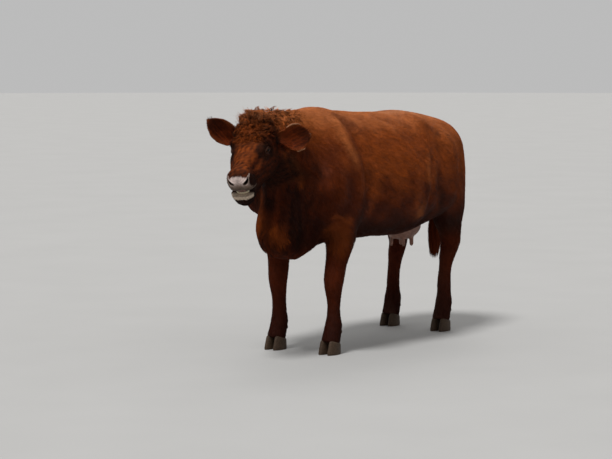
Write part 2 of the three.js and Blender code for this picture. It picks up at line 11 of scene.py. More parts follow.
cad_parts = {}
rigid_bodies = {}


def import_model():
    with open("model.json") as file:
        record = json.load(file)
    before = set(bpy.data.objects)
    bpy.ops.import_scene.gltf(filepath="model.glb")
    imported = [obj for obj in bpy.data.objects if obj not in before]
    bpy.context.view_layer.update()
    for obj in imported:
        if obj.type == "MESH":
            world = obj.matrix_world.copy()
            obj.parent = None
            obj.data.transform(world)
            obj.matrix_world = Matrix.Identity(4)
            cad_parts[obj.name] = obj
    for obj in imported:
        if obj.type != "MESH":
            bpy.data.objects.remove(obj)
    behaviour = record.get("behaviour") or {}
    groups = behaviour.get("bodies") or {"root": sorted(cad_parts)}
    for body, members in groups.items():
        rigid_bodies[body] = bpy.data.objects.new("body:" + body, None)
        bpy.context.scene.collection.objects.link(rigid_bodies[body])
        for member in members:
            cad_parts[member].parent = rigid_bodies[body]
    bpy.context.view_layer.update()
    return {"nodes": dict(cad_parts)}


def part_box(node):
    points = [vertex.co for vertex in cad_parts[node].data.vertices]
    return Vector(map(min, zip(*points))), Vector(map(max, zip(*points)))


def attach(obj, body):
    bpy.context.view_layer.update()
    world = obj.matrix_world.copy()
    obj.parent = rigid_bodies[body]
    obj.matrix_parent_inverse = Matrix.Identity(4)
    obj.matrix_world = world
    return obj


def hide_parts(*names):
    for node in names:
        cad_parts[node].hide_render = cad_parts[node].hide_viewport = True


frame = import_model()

bl_info = {
    "name": "Standing Red Beef Cow",
    "version": (1, 0, 0),
    "blender": (4, 5, 0),
    "location": "View3D > Sidebar > Cow",
    "description": "Skin, coat, eyes, mouth and hooves of a standing cow, built on its solids",
    "category": "Object",
}

BODY = "root"
SIDES = (("left", 1.0), ("right", -1.0))
LEGS = [f"{leg}_{half}_{side}" for leg in ("foreleg", "hindleg")
        for half in ("upper", "lower") for side, _ in SIDES]
TEATS = [f"teat_{end}_{side}" for end in ("front", "rear") for side, _ in SIDES]
EARS = [f"ear_{side}" for side, _ in SIDES]
FLESH = ["trunk", "neck", "head", "lower_jaw", "tail", "udder", *EARS, *LEGS, *TEATS]
BARREL_PARTING = 0.22   # where the barrel's coat is parted into a front and a rear piece
LEG_PARTING = 0.2       # forelegs lie ahead of this, hind legs behind it
NECK_START = -0.47      # the coat ahead of this is the neck's
LEG_TOP = 0.60          # the coat below this is the legs'
CORONET = 0.064         # no hair grows below this, on the claws
TAIL_LINE = 1.0745      # how far back the tail hangs


# ---- Where things are -------------------------------------------------------------------------

def turned(pitch, roll, yaw):
    """The head's axes: X out to its left, Y back from the muzzle, Z up through the brow."""
    return (Matrix.Rotation(math.radians(yaw), 3, "Z")
            @ Matrix.Rotation(math.radians(pitch), 3, "X")
            @ Matrix.Rotation(math.radians(roll), 3, "Y"))


def middle(node):
    """The middle of a node's box."""
    low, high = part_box(node)
    return np.array((low + high) / 2)


HEAD_AXES = np.array(turned(33.0, -4.0, 16.5))
# The left eye, from the poll, along the head's axes.
EYE_PLACE = np.array((0.090, -0.160, -0.044))
EYE_RADIUS = 0.020
POLL = (middle("eye_left") + middle("eye_right")) / 2 - HEAD_AXES @ (EYE_PLACE * (0, 1, 1))


def to_head(points):
    """World places in the head's own axes, from the poll."""
    return (points - POLL) @ HEAD_AXES


def from_head(points):
    """Places in the head's own axes, in the world's."""
    return np.asarray(points) @ HEAD_AXES.T + POLL


def head_way(direction):
    """A direction along the head's axes, in the world's."""
    return np.asarray(direction, float) @ HEAD_AXES.T


# ---- Arithmetic on many points at once --------------------------------------------------------

def unit(ways):
    """Vectors brought to a length of one."""
    return ways / np.maximum(np.linalg.norm(ways, axis=-1, keepdims=True), 1e-12)


def dots(first, second):
    """The product of each pair of vectors."""
    return np.einsum("ij,ij->i", first, second)


def vectors(x=0.0, y=0.0, z=0.0):
    """Vectors from their parts, each of them a number or a list of numbers."""
    return np.column_stack(np.broadcast_arrays(x, y, z))


def ramp(value, start, end):
    """0 at start, 1 at end, smooth between. start may be above end."""
    t = np.clip((value - start) / (end - start), 0.0, 1.0)
    return t * t * (3.0 - 2.0 * t)


def bump(distance, width):
    """1 at no distance, falling smoothly towards 0 past the width."""
    return np.exp(-(distance / width) ** 2)


def near_line(points, line):
    """How far each point is from a line through a few places, and how far along it that is."""
    line = np.asarray(line, float)
    spans = np.diff(line, axis=0)
    lengths = np.linalg.norm(spans, axis=1)
    before = np.concatenate(([0.0], np.cumsum(lengths)))
    nearest = np.full(len(points), np.inf)
    along = np.zeros(len(points))
    for start, span, length, done in zip(line, spans, lengths, before):
        t = np.clip((points - start) @ span / length ** 2, 0.0, 1.0)
        gap = np.linalg.norm(points - start - t[:, None] * span, axis=1)
        closer = gap < nearest
        nearest[closer] = gap[closer]
        along[closer] = ((done + t * length) / before[-1])[closer]
    return nearest, along


def waves(points, wavelength, seed, terms=7):
    """Smooth noise of about unit size: a sum of plane waves in all directions."""
    rng = np.random.default_rng(seed)
    total = np.zeros(len(points))
    for _ in range(terms):
        way = rng.normal(size=3)
        way *= 2 * math.pi / wavelength * rng.uniform(0.7, 1.4) / np.linalg.norm(way)
        total += np.sin(points @ way + rng.uniform(0, 2 * math.pi))
    return total * math.sqrt(2.0 / terms)


# ---- Settings ---------------------------------------------------------------------------------

def a_length(name, description, default, low=0.0, high=1.0):
    """A length, in metres."""
    return bpy.props.FloatProperty(
        name=name, description=description, default=default, min=low, max=high,
        precision=4, subtype="DISTANCE", unit="LENGTH")


def a_colour(name, description, default):
    return bpy.props.FloatVectorProperty(
        name=name, description=description, default=default, size=3, min=0.0, max=1.0,
        subtype="COLOR")


def an_angle(name, description, degrees):
    return bpy.props.FloatProperty(
        name=name, description=description, default=math.radians(degrees), subtype="ANGLE",
        unit="ROTATION")


def a_strength(name, description, default):
    return bpy.props.FloatProperty(name=name, description=description, default=default, min=0.0)


class CowSkinSettings(bpy.types.PropertyGroup):
    """How the skin is made over the solids."""

    voxel: a_length("Voxel", "Fineness of the skin when its parts are joined", 0.005, 0.003, 0.02)
    overlap: a_length("Overlap", "How far parts grow into each other before they join", 0.0015)
    rounds: bpy.props.IntProperty(
        name="Smoothing", description="Rounds of smoothing on the barrel", default=130, min=0)
    trunk_depth: a_length("Trunk Coat", "Depth of the coat on the barrel", 0.0055)
    neck_depth: a_length("Neck Coat", "Depth of the coat on the neck and brisket", 0.0075)
    leg_depth: a_length("Leg Coat", "Depth of the coat on the legs", 0.004)
    face_depth: a_length("Face Coat", "Depth of the coat on the face", 0.0035)
    poll_depth: a_length("Poll Curls", "Depth of the curls on the poll", 0.030)


class CowCoatSettings(bpy.types.PropertyGroup):
    """Lengths and colours of the hair."""

    flank_length: a_length("Flank Hair", "Length of the hair on the barrel", 0.023)
    neck_length: a_length("Neck Hair", "Length of the hair on the neck", 0.028)
    face_length: a_length("Face Hair", "Length of the hair on the face", 0.012)
    leg_length: a_length("Leg Hair", "Length of the hair on the legs", 0.020)
    curl_length: a_length("Curls", "Length of a curl on the forehead", 0.039)
    switch_length: a_length("Switch", "Length of the hair at the end of the tail", 0.24)
    # Sunlit: partly the sun-bleached hair of the back, partly painted sunlight on its top, the
    # rump and the body's crests.
    sunlit: a_colour("Sunlit", "Bleached hair along the back", (0.37, 0.108, 0.030))
    red: a_colour("Red", "Hair of the flank", (0.190, 0.038, 0.0050))
    # Deep: the lower barrel's own darker hair, and painted shade in hollows and on the shaded
    # lower body.
    deep: a_colour("Deep", "Hair of the lower barrel", (0.062, 0.0095, 0.0016))
    # Dark: partly the hair's own colour, partly painted shade under the belly, at the throat and
    # in hollows.
    dark: a_colour("Dark", "Hair of the throat, chest and lower legs", (0.0100, 0.0018, 0.0008))
    # Rim: the ears' pale rim, also laid along the spine as a painted highlight.
    rim: a_colour("Rim", "Hair along the edge of the ears", (0.40, 0.195, 0.105))


class CowFaceSettings(bpy.types.PropertyGroup):
    """The bare skin of the face."""

    # Nose: the pale bare skin, lightest at the top, where it also stands for painted highlight.
    nose: a_colour("Nose", "Bare skin between the nostrils", (0.60, 0.48, 0.44))
    nose_dark: a_colour("Nose Shade", "Bare skin of the upper lip", (0.140, 0.090, 0.064))
    lip: a_colour("Lip", "Pale skin of the lower lip", (0.46, 0.36, 0.27))
    lids: a_colour("Eyelids", "Bare skin along the eyelids", (0.080, 0.037, 0.027))
    udder: a_colour("Udder", "Skin of the udder", (0.22, 0.115, 0.085))
    iris: a_colour("Iris", "The iris", (0.050, 0.019, 0.0085))


class CowStageSettings(bpy.types.PropertyGroup):
    """Camera, floor and lights."""

    azimuth: an_angle("Azimuth", "How far the camera stands round to the cow's left", 34.0)
    elevation: an_angle("Elevation", "How far above level the camera stands", 5.0)
    distance: a_length("Distance", "From the camera to what it looks at", 12.0, 1.0, 100.0)
    field: an_angle("Field", "Width of the camera's view", 16.13)
    target: bpy.props.FloatVectorProperty(
        name="Target", description="What the camera looks at", default=(0.0, -0.3335, 0.680),
        subtype="TRANSLATION", unit="LENGTH")
    key: a_strength("Key Light", "Strength of the main light", 2.5)
    sky: a_strength("Surroundings", "Strength of the light from all round", 0.50)
    floor: a_colour("Floor", "The studio floor", (0.41, 0.405, 0.395))


# ---- Making meshes ----------------------------------------------------------------------------

def only(*objects):
    """Selects these objects alone, the first one active."""
    bpy.ops.object.select_all(action="DESELECT")
    for obj in objects:
        obj.select_set(True)
    bpy.context.view_layer.objects.active = objects[0]


def edited(obj, **steps):
    """Runs mesh operators, each with its own values, on all the faces of one object."""
    only(obj)
    bpy.ops.object.mode_set(mode="EDIT")
    bpy.ops.mesh.select_all(action="SELECT")
    for step, values in steps.items():
        getattr(bpy.ops.mesh, step)(**values)
    bpy.ops.object.mode_set(mode="OBJECT")


def new_ball(name, segments, rings, radius=1.0):
    """A round ball of its own name, about the middle of the world."""
    bpy.ops.object.select_all(action="DESELECT")
    bpy.ops.mesh.primitive_uv_sphere_add(segments=segments, ring_count=rings, radius=radius)
    ball = bpy.context.view_layer.objects.active
    ball.name = ball.data.name = name
    return ball


def smooth(obj):
    """Shades an object smoothly."""
    only(obj)
    bpy.ops.object.shade_smooth()


def dress(obj, material):
    """Gives an object this material alone."""
    obj.data.materials.clear()
    obj.data.materials.append(material)


def read(items, name, width=3, kind=float):
    """One property of all of a mesh's vertices, edges, faces or corners, as an array."""
    found = np.empty(len(items) * width, kind)
    items.foreach_get(name, found)
    return found.reshape(-1, width)


def places(mesh):
    """Where a mesh's vertices are."""
    return read(mesh.vertices, "co")


def place(mesh, points):
    """Moves a mesh's vertices to these places."""
    mesh.vertices.foreach_set("co", np.asarray(points, np.float32).ravel())
    mesh.update()


def directions(mesh):
    """The way a mesh faces at each vertex."""
    return read(mesh.vertices, "normal")


def apply_modifier(obj, kind, **values):
    """Adds a modifier with these values and makes its result the mesh."""
    modifier = obj.modifiers.new(kind.title(), kind)
    for name, value in values.items():
        setattr(modifier, name, value)
    only(obj)
    bpy.ops.object.modifier_apply(modifier=modifier.name)


def weigh(obj, name, weights, levels=20):
    """A vertex group holding these weights, rounded to a few levels."""
    group = obj.vertex_groups.new(name=name)
    steps = np.round(np.clip(weights, 0.0, 1.0) * levels).astype(int)
    for step in np.unique(steps):
        group.add(np.flatnonzero(steps == step).tolist(), step / levels, "REPLACE")


def paint(mesh, name, colours):
    """Stores a colour at each vertex."""
    data = np.ones((len(mesh.vertices), 4), np.float32)
    data[:, :colours.shape[1]] = colours
    layer = mesh.color_attributes.new(name, "FLOAT_COLOR", "POINT")
    layer.data.foreach_set("color", data.ravel())


def store(mesh, name, values):
    """Stores a number or a vector at each vertex."""
    kind, field = ("FLOAT", "value") if values.ndim == 1 else ("FLOAT_VECTOR", "vector")
    layer = mesh.attributes.new(name, kind, "POINT")
    layer.data.foreach_set(field, values.astype(np.float32).ravel())


def mesh_of(name, points, corners):
    """A mesh object of triangles."""
    mesh = bpy.data.meshes.new(name)
    mesh.vertices.add(len(points))
    mesh.loops.add(corners.size)
    mesh.polygons.add(len(corners))
    mesh.vertices.foreach_set("co", np.asarray(points, np.float32).ravel())
    mesh.loops.foreach_set("vertex_index", corners.astype(np.int32).ravel())
    mesh.polygons.foreach_set("loop_start", np.arange(0, corners.size, 3, dtype=np.int32))
    mesh.polygons.foreach_set("use_smooth", np.ones(len(corners), bool))
    mesh.update(calc_edges=True)
    obj = bpy.data.objects.new(name, mesh)
    bpy.context.scene.collection.objects.link(obj)
    return obj


def tube_faces(columns, rows, first=0):
    """Triangles between rings of points, each ring closed on itself."""
    faces = []
    for row in range(rows - 1):
        for column in range(columns):
            a = first + row * columns + column
            b = first + row * columns + (column + 1) % columns
            faces += [(a, b, a + columns), (b, b + columns, a + columns)]
    return faces


def finish_piece(obj, slot, *nodes):
    """Hands a finished piece over: hides what it stands for and puts it on the body that carries
    it. The slot is not used.
    """
    if nodes:
        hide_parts(*nodes)
    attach(obj, BODY)


# ---- The skin ---------------------------------------------------------------------------------

WELD = 1e-5  # corners this near each other are one


def joined_flesh(settings):
    """One closed mesh round all the flesh nodes."""
    copies = []
    for node in FLESH:
        mesh = frame["nodes"][node].data.copy()
        mesh.materials.clear()
        obj = bpy.data.objects.new(f"flesh_{node}", mesh)
        bpy.context.scene.collection.objects.link(obj)
        copies.append(obj)
    for obj in copies:
        edited(obj, remove_doubles={"threshold": WELD},
               normals_make_consistent={"inside": False})
        place(obj.data, places(obj.data) + directions(obj.data) * settings.overlap)
    only(*copies)
    bpy.ops.object.join()
    hide = bpy.context.view_layer.objects.active
    hide.data.name = "hide"
    hide.data.remesh_voxel_size = settings.voxel
    bpy.ops.object.voxel_remesh()
    return largest_piece(hide)


def largest_piece(obj):
    """Drops the small closed pockets that joining leaves inside."""
    before = set(bpy.data.objects)
    edited(obj, separate={"type": "LOOSE"})
    pieces = [obj, *(set(bpy.data.objects) - before)]
    kept = max(pieces, key=lambda piece: len(piece.data.vertices))
    for piece in pieces:
        if piece is not kept:
            bpy.data.objects.remove(piece)
    kept.name = "hide"
    return kept


def head_share(points):
    """1 on the head in front of the poll, 0 on the neck and the rest of the body."""
    x, y, z = to_head(points).T
    near = ramp(y, 0.030, -0.050) * ramp(z, -0.36, -0.30)
    return near * ramp(np.abs(x), 0.36, 0.30)


def leg_share(points):
    """1 on the legs, 0 on the barrel."""
    return ramp(points[:, 2], 0.66, 0.54)


# Each ear: its base from the poll, the way it points, the way its hollow faces, how many degrees
# the cow holds it above and in front of that, how far its base moves, and how much longer, broader
# and deeper it is.
Ear = collections.namedtuple("Ear", "base along front up forward move grown")
EAR_PLACES = {
    1.0: Ear(base=(0.094, -0.022, -0.056), along=(1.0, 0.02, 0.0), front=(0.2, -0.84, 0.54),
             up=2.0, forward=-15.0, move=(0.020, 0.0, -0.034), grown=(0.86, 1.30, 1.0)),
    -1.0: Ear(base=(-0.092, -0.022, -0.060), along=(-0.9, 0.05, 0.37), front=(-0.1, -0.84, 0.5),
              up=30.0, forward=7.0, move=(-0.012, 0.0, -0.052), grown=(1.21, 1.08, 1.0)),
}


def ear_turn(side):
    """How an ear is turned on its base from its solid's place to where the cow holds it."""
    ear = EAR_PLACES[side]
    up, forward = np.radians((ear.up, ear.forward)) * -side
    return np.array(Matrix.Rotation(forward, 3, "Z") @ Matrix.Rotation(up, 3, "Y"))


def ear_frame(side, held=True):
    """An ear's base in the head's axes, the way it points, up across it, and its hollow's way."""
    ear = EAR_PLACES[side]
    base, along, front = np.array(ear.base), unit(np.array(ear.along)), np.array(ear.front)
    front = unit(front - (front @ along) * along)
    axes = np.stack((along, np.cross(front, along) * side, front))
    if not held:
        return base, axes
    return base + ear.move, axes @ ear_turn(side).T


def ear_places(own, held=True):
    """For points on the ears: how far out, how far up across, and how far towards the front."""
    out = np.zeros((len(own), 3))
    for side, ear in EAR_PLACES.items():
        base, axes = ear_frame(side, held)
        chosen = own[:, 0] * side > 0
        out[chosen] = (own[chosen] - base) @ axes.T
        if held:
            out[chosen] /= ear.grown
    return out


def ear_half(out):
    """Half the height of an ear, so far out from its base as a share of its length."""
    return 0.066 * np.sqrt(np.clip(1.0 - ((out - 0.52) / 0.50) ** 2, 0.02, 1.0))


def ear_outline(at):
    """For places on an ear, 0 on its middle line, 1 at its outline and more past it."""
    out = np.clip(at[:, 0] / 0.204, 0.0, 1.0)
    wide = (ear_half(out) - 0.008) * (1.0 - 0.10 * ramp(out, 0.7, 0.95))
    across = np.abs(at[:, 1] + 0.008 + 0.006 * out) / wide
    return np.maximum(across, ramp(out, 0.82, 0.985))


def ear_share(points, held=True):
    """1 on the ears."""
    own = to_head(points)
    at = ear_places(own, held)
    out, _, ahead = at.T
    behind = -0.034 - 0.030 * ramp(out, 0.075, 0.10)
    near = ramp(np.abs(own[:, 0]), 0.106, 0.124) * ramp(out, -0.010, 0.012)
    near = near * ramp(ahead, behind, behind + 0.012) * ramp(ahead, 0.075, 0.060)
    return near * ramp(ear_outline(at), 1.30, 1.16) * ramp(out, 0.235, 0.220)


def skin_depth(points, settings):
    """How far the skin lies below the tips of the coat."""
    x, y, z = points.T
    own = to_head(points)
    depth = np.full(len(points), settings.trunk_depth)
    depth += ramp(y, -0.36, -0.52) * (settings.neck_depth - settings.trunk_depth)
    depth += leg_share(points) * (settings.leg_depth - depth)
    depth *= ramp(z, 0.06, 0.12)
    depth += ramp(y, 1.012, 1.034) * ramp(z, 0.5, 0.6) * (settings.leg_depth - depth)
    milk = ramp(z, 0.66, 0.60) * bump(x, 0.13) * ramp(y, 0.50, 0.56) * ramp(y, 0.87, 0.82)
    depth += milk * (0.001 - depth)
    poll = np.linalg.norm((own - (0.004, 0.005, 0.03)) / (0.125, 0.130, 0.110), axis=1)
    brow = np.linalg.norm((own - (0.0, -0.08, 0.015)) / (0.120, 0.110, 0.080), axis=1)
    face = settings.face_depth * ramp(own[:, 1], -0.36, -0.31) + 0.010 * ramp(brow, 1.15, 0.35)
    face = face + (settings.poll_depth - 0.012) * ramp(poll, 1.15, 0.25)
    depth += head_share(points) * (face - depth)
    return depth + ear_share(points, False) * (0.0038 - depth)


def mirrored(points):
    """The places brought over to the left side."""
    return points * (1, 0, 0) * np.sign(points[:, :1]) + points * (0, 1, 1)


# Lines over the left side of the body, each with the height of the form along it, its half width
# and the share of its height that it has at its two ends.
SHOULDER = ((0.10, -0.255, 1.335), (0.188, -0.290, 1.269), (0.262, -0.300, 1.183),
            (0.312, -0.290, 1.096), (0.332, -0.285, 0.993), (0.333, -0.280, 0.888),
            (0.300, -0.290, 0.790))
BODY_FORMS = (
    (SHOULDER, 0.013, 0.046),
    ([(x, y + 0.062, z) for x, y, z in SHOULDER], -0.017, 0.040),
    (((0.13, -0.36, 1.30), (0.235, -0.44, 1.13), (0.30, -0.52, 0.93)), 0.007, 0.050),
    (((0.064, 0.079, 1.322), (0.187, 0.085, 1.285), (0.284, 0.175, 1.211)), 0.007, 0.030),
    (((0.24, 0.27, 1.25), (0.31, 0.34, 1.14)), -0.012, 0.075),
    (((0.10, 0.46, 1.32), (0.235, 0.50, 1.255), (0.27, 0.53, 1.19)), 0.007, 0.040),
    (((0.330, 0.42, 1.12), (0.385, 0.355, 0.98), (0.388, 0.345, 0.86), (0.33, 0.36, 0.74)),
     0.010, 0.020),
    (((0.335, 0.47, 1.08), (0.375, 0.415, 0.96), (0.375, 0.405, 0.86), (0.32, 0.43, 0.74)),
     -0.013, 0.026),
    (((0.35, 0.50, 1.00), (0.36, 0.47, 0.86), (0.32, 0.50, 0.76)), 0.007, 0.022),
    (((0.27, 0.80, 1.14), (0.315, 0.81, 0.98), (0.30, 0.82, 0.80)), -0.007, 0.030),
    (((0.25, -0.50, 0.80), (0.285, -0.40, 0.785), (0.30, -0.29, 0.74)), 0.009, 0.026),
    (((0.24, -0.49, 0.73), (0.28, -0.38, 0.72)), -0.007, 0.024),
)
NECK_FOLDS = (
    (((0.16, -0.66, 1.16), (0.145, -0.66, 1.02), (0.14, -0.645, 0.86), (0.14, -0.66, 0.72)),
     0.010, 0.017),
    (((0.20, -0.62, 1.12), (0.20, -0.60, 0.98), (0.19, -0.60, 0.82)), 0.008, 0.016),
    (((0.10, -0.70, 1.06), (0.085, -0.695, 0.92), (0.09, -0.70, 0.76)), 0.009, 0.015),
    (((0.13, -0.685, 1.10), (0.115, -0.680, 0.94), (0.12, -0.685, 0.76)), -0.010, 0.014),
    (((0.235, -0.56, 1.12), (0.245, -0.54, 0.97), (0.235, -0.55, 0.80)), -0.008, 0.022),
)


def raised(points, forms):
    """The height that a list of ridges and hollows gives each point."""
    total = np.zeros(len(points))
    for line, height, width in forms:
        gap, along = near_line(points, line)
        ends = ramp(along, 0.0, 0.18) * ramp(along, 1.0, 0.82)
        total += height * bump(gap, width) * (0.25 + 0.75 * ends)
    return total


def muscled(points, normals):
    """The barrel, shoulders and thighs with their muscles and folds."""
    mirror = mirrored(points)
    height = raised(mirror, BODY_FORMS)
    left = ramp(points[:, 0], 0.0, 0.05)
    height += raised(points, NECK_FOLDS) * left
    height += 0.5 * raised(mirror, NECK_FOLDS) * (1.0 - left)
    y, z = points.T[1:]
    ribs = ramp(y, -0.22, -0.10) * ramp(y, 0.34, 0.22) * ramp(z, 0.72, 0.85) * ramp(z, 1.22, 1.10)
    height += 0.0005 * ribs * np.sin((y + 0.22 * (z - 1.0)) * 2 * math.pi / 0.075)
    height += 0.0018 * waves(points, 0.24, 5)
    return points + normals * (height * (1.0 - head_share(points)))[:, None]


# The same for the left half of the head, along its own axes.
FACE_FORMS = (
    (((0.050, -0.105, 0.030), (0.086, -0.140, 0.012), (0.106, -0.178, -0.020)), 0.005, 0.014),
    (((0.100, -0.205, -0.070), (0.086, -0.260, -0.090), (0.070, -0.320, -0.104)), 0.003, 0.012),
    (((0.090, -0.215, -0.045), (0.074, -0.265, -0.052), (0.062, -0.320, -0.050)), -0.0035, 0.018),
    (((0.104, -0.200, -0.058), (0.092, -0.245, -0.078)), -0.004, 0.006),
    (((0.112, -0.090, -0.020), (0.116, -0.060, -0.060)), -0.008, 0.022),
    (((0.100, -0.180, -0.120), (0.090, -0.130, -0.190), (0.080, -0.060, -0.215)), -0.005, 0.022),
    (((0.060, -0.350, -0.040), (0.068, -0.362, -0.070), (0.066, -0.360, -0.104)), -0.0028, 0.0045),
    (((0.058, -0.336, -0.036), (0.068, -0.345, -0.072), (0.068, -0.345, -0.110)), 0.0022, 0.0045),
    (((0.057, -0.322, -0.032), (0.069, -0.330, -0.072), (0.070, -0.332, -0.112)), -0.0026, 0.0045),
    (((0.062, -0.306, -0.050), (0.071, -0.312, -0.090)), -0.0018, 0.0045),
    (((0.0, -0.335, -0.004), (0.030, -0.340, -0.010), (0.052, -0.348, -0.030)), 0.0030, 0.008),
    (((0.0, -0.352, -0.006), (0.030, -0.356, -0.014), (0.050, -0.360, -0.034)), -0.0028, 0.007),
    (((0.066, -0.330, -0.140), (0.074, -0.305, -0.146), (0.080, -0.280, -0.156)), -0.0040, 0.007),
    (((0.067, -0.345, -0.152), (0.076, -0.312, -0.160), (0.080, -0.285, -0.172)), 0.0030, 0.008),
)
NOSTRIL_PLACE = np.array((0.0400, -0.398, -0.070))
NOSTRIL_SIZE = (0.0225, 0.0088, 0.024)  # half its length, half its width and its depth
NOSTRIL_ALONG = unit(np.array((0.52, 0.50, 0.69)))
NOSTRIL_IN = unit(np.array((-0.30, 0.94, -0.12)))


def nostril_reach(own):
    """How far a point is from the middle of its nostril: 1 at the edge of the opening."""
    rel = mirrored(own) - NOSTRIL_PLACE
    long, wide, _ = NOSTRIL_SIZE
    inward = unit(NOSTRIL_IN - (NOSTRIL_IN @ NOSTRIL_ALONG) * NOSTRIL_ALONG)
    share = rel @ NOSTRIL_ALONG / long
    bend = np.clip(share, -1, 1)
    across = rel @ np.cross(NOSTRIL_ALONG, inward) - 0.0045 * bend ** 2
    deep = np.abs(rel @ inward) / 0.05
    return np.sqrt(share ** 2 + (across / (wide * (0.78 - 0.34 * bend))) ** 2 + deep ** 4)


def faced(points, normals):
    """The head with its brows, cheek crests, wrinkles, nostrils and lips."""
    own = to_head(points)
    x, y, z = own.T
    head = head_share(points)
    reach = nostril_reach(own)
    height = raised(mirrored(own), FACE_FORMS)
    height += 0.0032 * bump(reach - 1.45, 0.34) * ramp(y, -0.34, -0.37)
    height -= 0.0022 * ramp(y, -0.385, -0.40) * bump(x, 0.0035) * ramp(z, -0.08, -0.10)
    moved = own + (normals @ HEAD_AXES) * (height * head)[:, None]
    inward = NOSTRIL_IN * np.where(own[:, :1] >= 0, (1, 1, 1), (-1, 1, 1))
    push = NOSTRIL_SIZE[2] * ramp(reach, 1.12, 0.45) * head * ramp(y, -0.345, -0.365)
    return from_head(moved + inward * push[:, None])


def eared(points):
    """The ears moved and turned on their bases to where the cow holds them."""
    own = to_head(points)
    share = ear_share(points, False)
    for side, ear in EAR_PLACES.items():
        base, axes = ear_frame(side, False)
        held_base, held_axes = ear_frame(side)
        chosen = (own[:, 0] * side > 0) & (share > 0)
        at = (own[chosen] - base) @ axes.T
        bend = (ramp(at[:, 0], 0.0, 0.070) * share[chosen])[:, None]
        held = held_base + (at * ear.grown) @ held_axes
        own[chosen] = own[chosen] * (1 - bend) + held * bend
    return from_head(own)


def jointed(points, normals):
    """The hocks drawn back and the knees forward."""
    x, y, z = points.T
    side = ramp(np.abs(x), 0.06, 0.10)
    hind = ramp(y, 0.60, 0.74) * side * ramp(z, 0.74, 0.66)
    fore = ramp(y, -0.10, -0.20) * side * ramp(z, 0.60, 0.52)
    move = hind * (0.024 * bump(z - 0.50, 0.075) - 0.008 * bump(z - 0.30, 0.09))
    move += hind * 0.016 * bump(z - 0.525, 0.040) * ramp(normals[:, 1], 0.2, 0.9)
    move -= fore * 0.008 * bump(z - 0.365, 0.045) * ramp(-normals[:, 1], 0.0, 0.8)
    move -= hind * 0.006 * bump(z - 0.45, 0.04) * ramp(-normals[:, 1], 0.0, 0.8)
    return points + vectors(y=move)


def jaw_drop(own):
    """How far the lower jaw hangs open, for places on the closed one."""
    line = np.interp(-own[:, 1], (0.09, 0.20, 0.30, 0.36), (-0.290, -0.176, -0.150, -0.139))
    soft = 0.004 + 0.06 * ramp(own[:, 1], -0.345, -0.20)
    below = np.clip((line - own[:, 2]) / soft, 0.0, 1.0)
    return 0.0165 * ramp(own[:, 1], -0.18, -0.37) * below


def jaw_opened(points):
    """The lower jaw hanging a little open, and drawn to the cow's right as when it chews."""
    own = to_head(points)
    drop = jaw_drop(own) * head_share(points)
    return from_head(own - vectors(0.75 * drop, 0.30 * drop, drop))


def slimmed(points):
    """The muzzle a little narrower."""
    own = to_head(points)
    less = 0.085 * ramp(own[:, 1], -0.26, -0.34) * head_share(points)
    own[:, 0] *= 1.0 - less
    return from_head(own)


def firmness(points):
    """How freely each place moves when the skin is smoothed: 1 on the barrel, less elsewhere."""
    x, y, z = points.T
    head = head_share(points)
    teats = ramp(z, 0.565, 0.55) * bump(x, 0.09) * ramp(y, 0.56, 0.60) * ramp(y, 0.86, 0.82)
    soft = np.full(len(points), 1.0)
    for share, aim in ((leg_share(points), 0.30), (ramp(z, 0.13, 0.09), 0.05), (head, 0.34),
                       (head * ramp(to_head(points)[:, 1], -0.33, -0.37), 0.10),
                       (ear_share(points, False), 0.05), (teats, 0.06)):
        soft += share * (aim - soft)
    return soft


FINER_MUZZLE = (-0.320, -0.384)  # along the head's Y: the skin is finer ahead of each


def make_hide(settings):
    """The skin: joined, smoothed, sunk by the depth of the coat and shaped."""
    hide = joined_flesh(settings)
    points = places(hide.data)
    weigh(hide, "soft", firmness(points))
    apply_modifier(hide, "SMOOTH", factor=0.5, iterations=settings.rounds, vertex_group="soft")
    weigh(hide, "coarse", (1.0 - head_share(points)) * (1.0 - ear_share(points, False)))
    apply_modifier(hide, "DECIMATE", ratio=0.14, vertex_group="coarse", vertex_group_factor=10.0)
    for ahead in FINER_MUZZLE:
        refine(hide, ahead)
    mesh = hide.data
    points, normals = places(mesh), directions(mesh)
    place(mesh, slimmed(points - normals * skin_depth(points, settings)[:, None]))
    points = muscled(places(mesh), directions(mesh))
    place(mesh, jointed(points, directions(mesh)))
    place(mesh, jaw_opened(eared(faced(places(mesh), directions(mesh)))))
    smooth(hide)
    return hide


def refine(hide, ahead):
    """Halves the faces of the muzzle ahead of a place along the head."""
    only(hide)
    mesh = hide.data
    points = places(mesh)
    chosen = (head_share(points) > 0.5) & (to_head(points)[:, 1] < ahead)
    bpy.ops.object.mode_set(mode="EDIT")
    bpy.ops.mesh.select_all(action="DESELECT")
    bpy.ops.object.mode_set(mode="OBJECT")
    mesh.vertices.foreach_set("select", chosen)
    ends = read(mesh.edges, "vertices", 2, np.int32)
    mesh.edges.foreach_set("select", chosen[ends].all(axis=1))
    corners = read(mesh.loops, "vertex_index", 1, np.int32).ravel()
    starts = read(mesh.polygons, "loop_start", 1, np.int32).ravel()
    mesh.polygons.foreach_set("select", np.logical_and.reduceat(chosen[corners], starts))
    bpy.ops.object.mode_set(mode="EDIT")
    bpy.ops.mesh.select_mode(type="FACE")
    bpy.ops.mesh.subdivide(number_cuts=1)
    bpy.ops.mesh.vertices_smooth(factor=0.5, repeat=2)
    bpy.ops.object.mode_set(mode="OBJECT")


# ---- Colours of the hide ----------------------------------------------------------------------

def mixed(first, second, share):
    """Two colours, or lists of them, mixed point by point."""
    share = np.asarray(share)[:, None]
    return np.asarray(first) * (1.0 - share) + np.asarray(second) * share


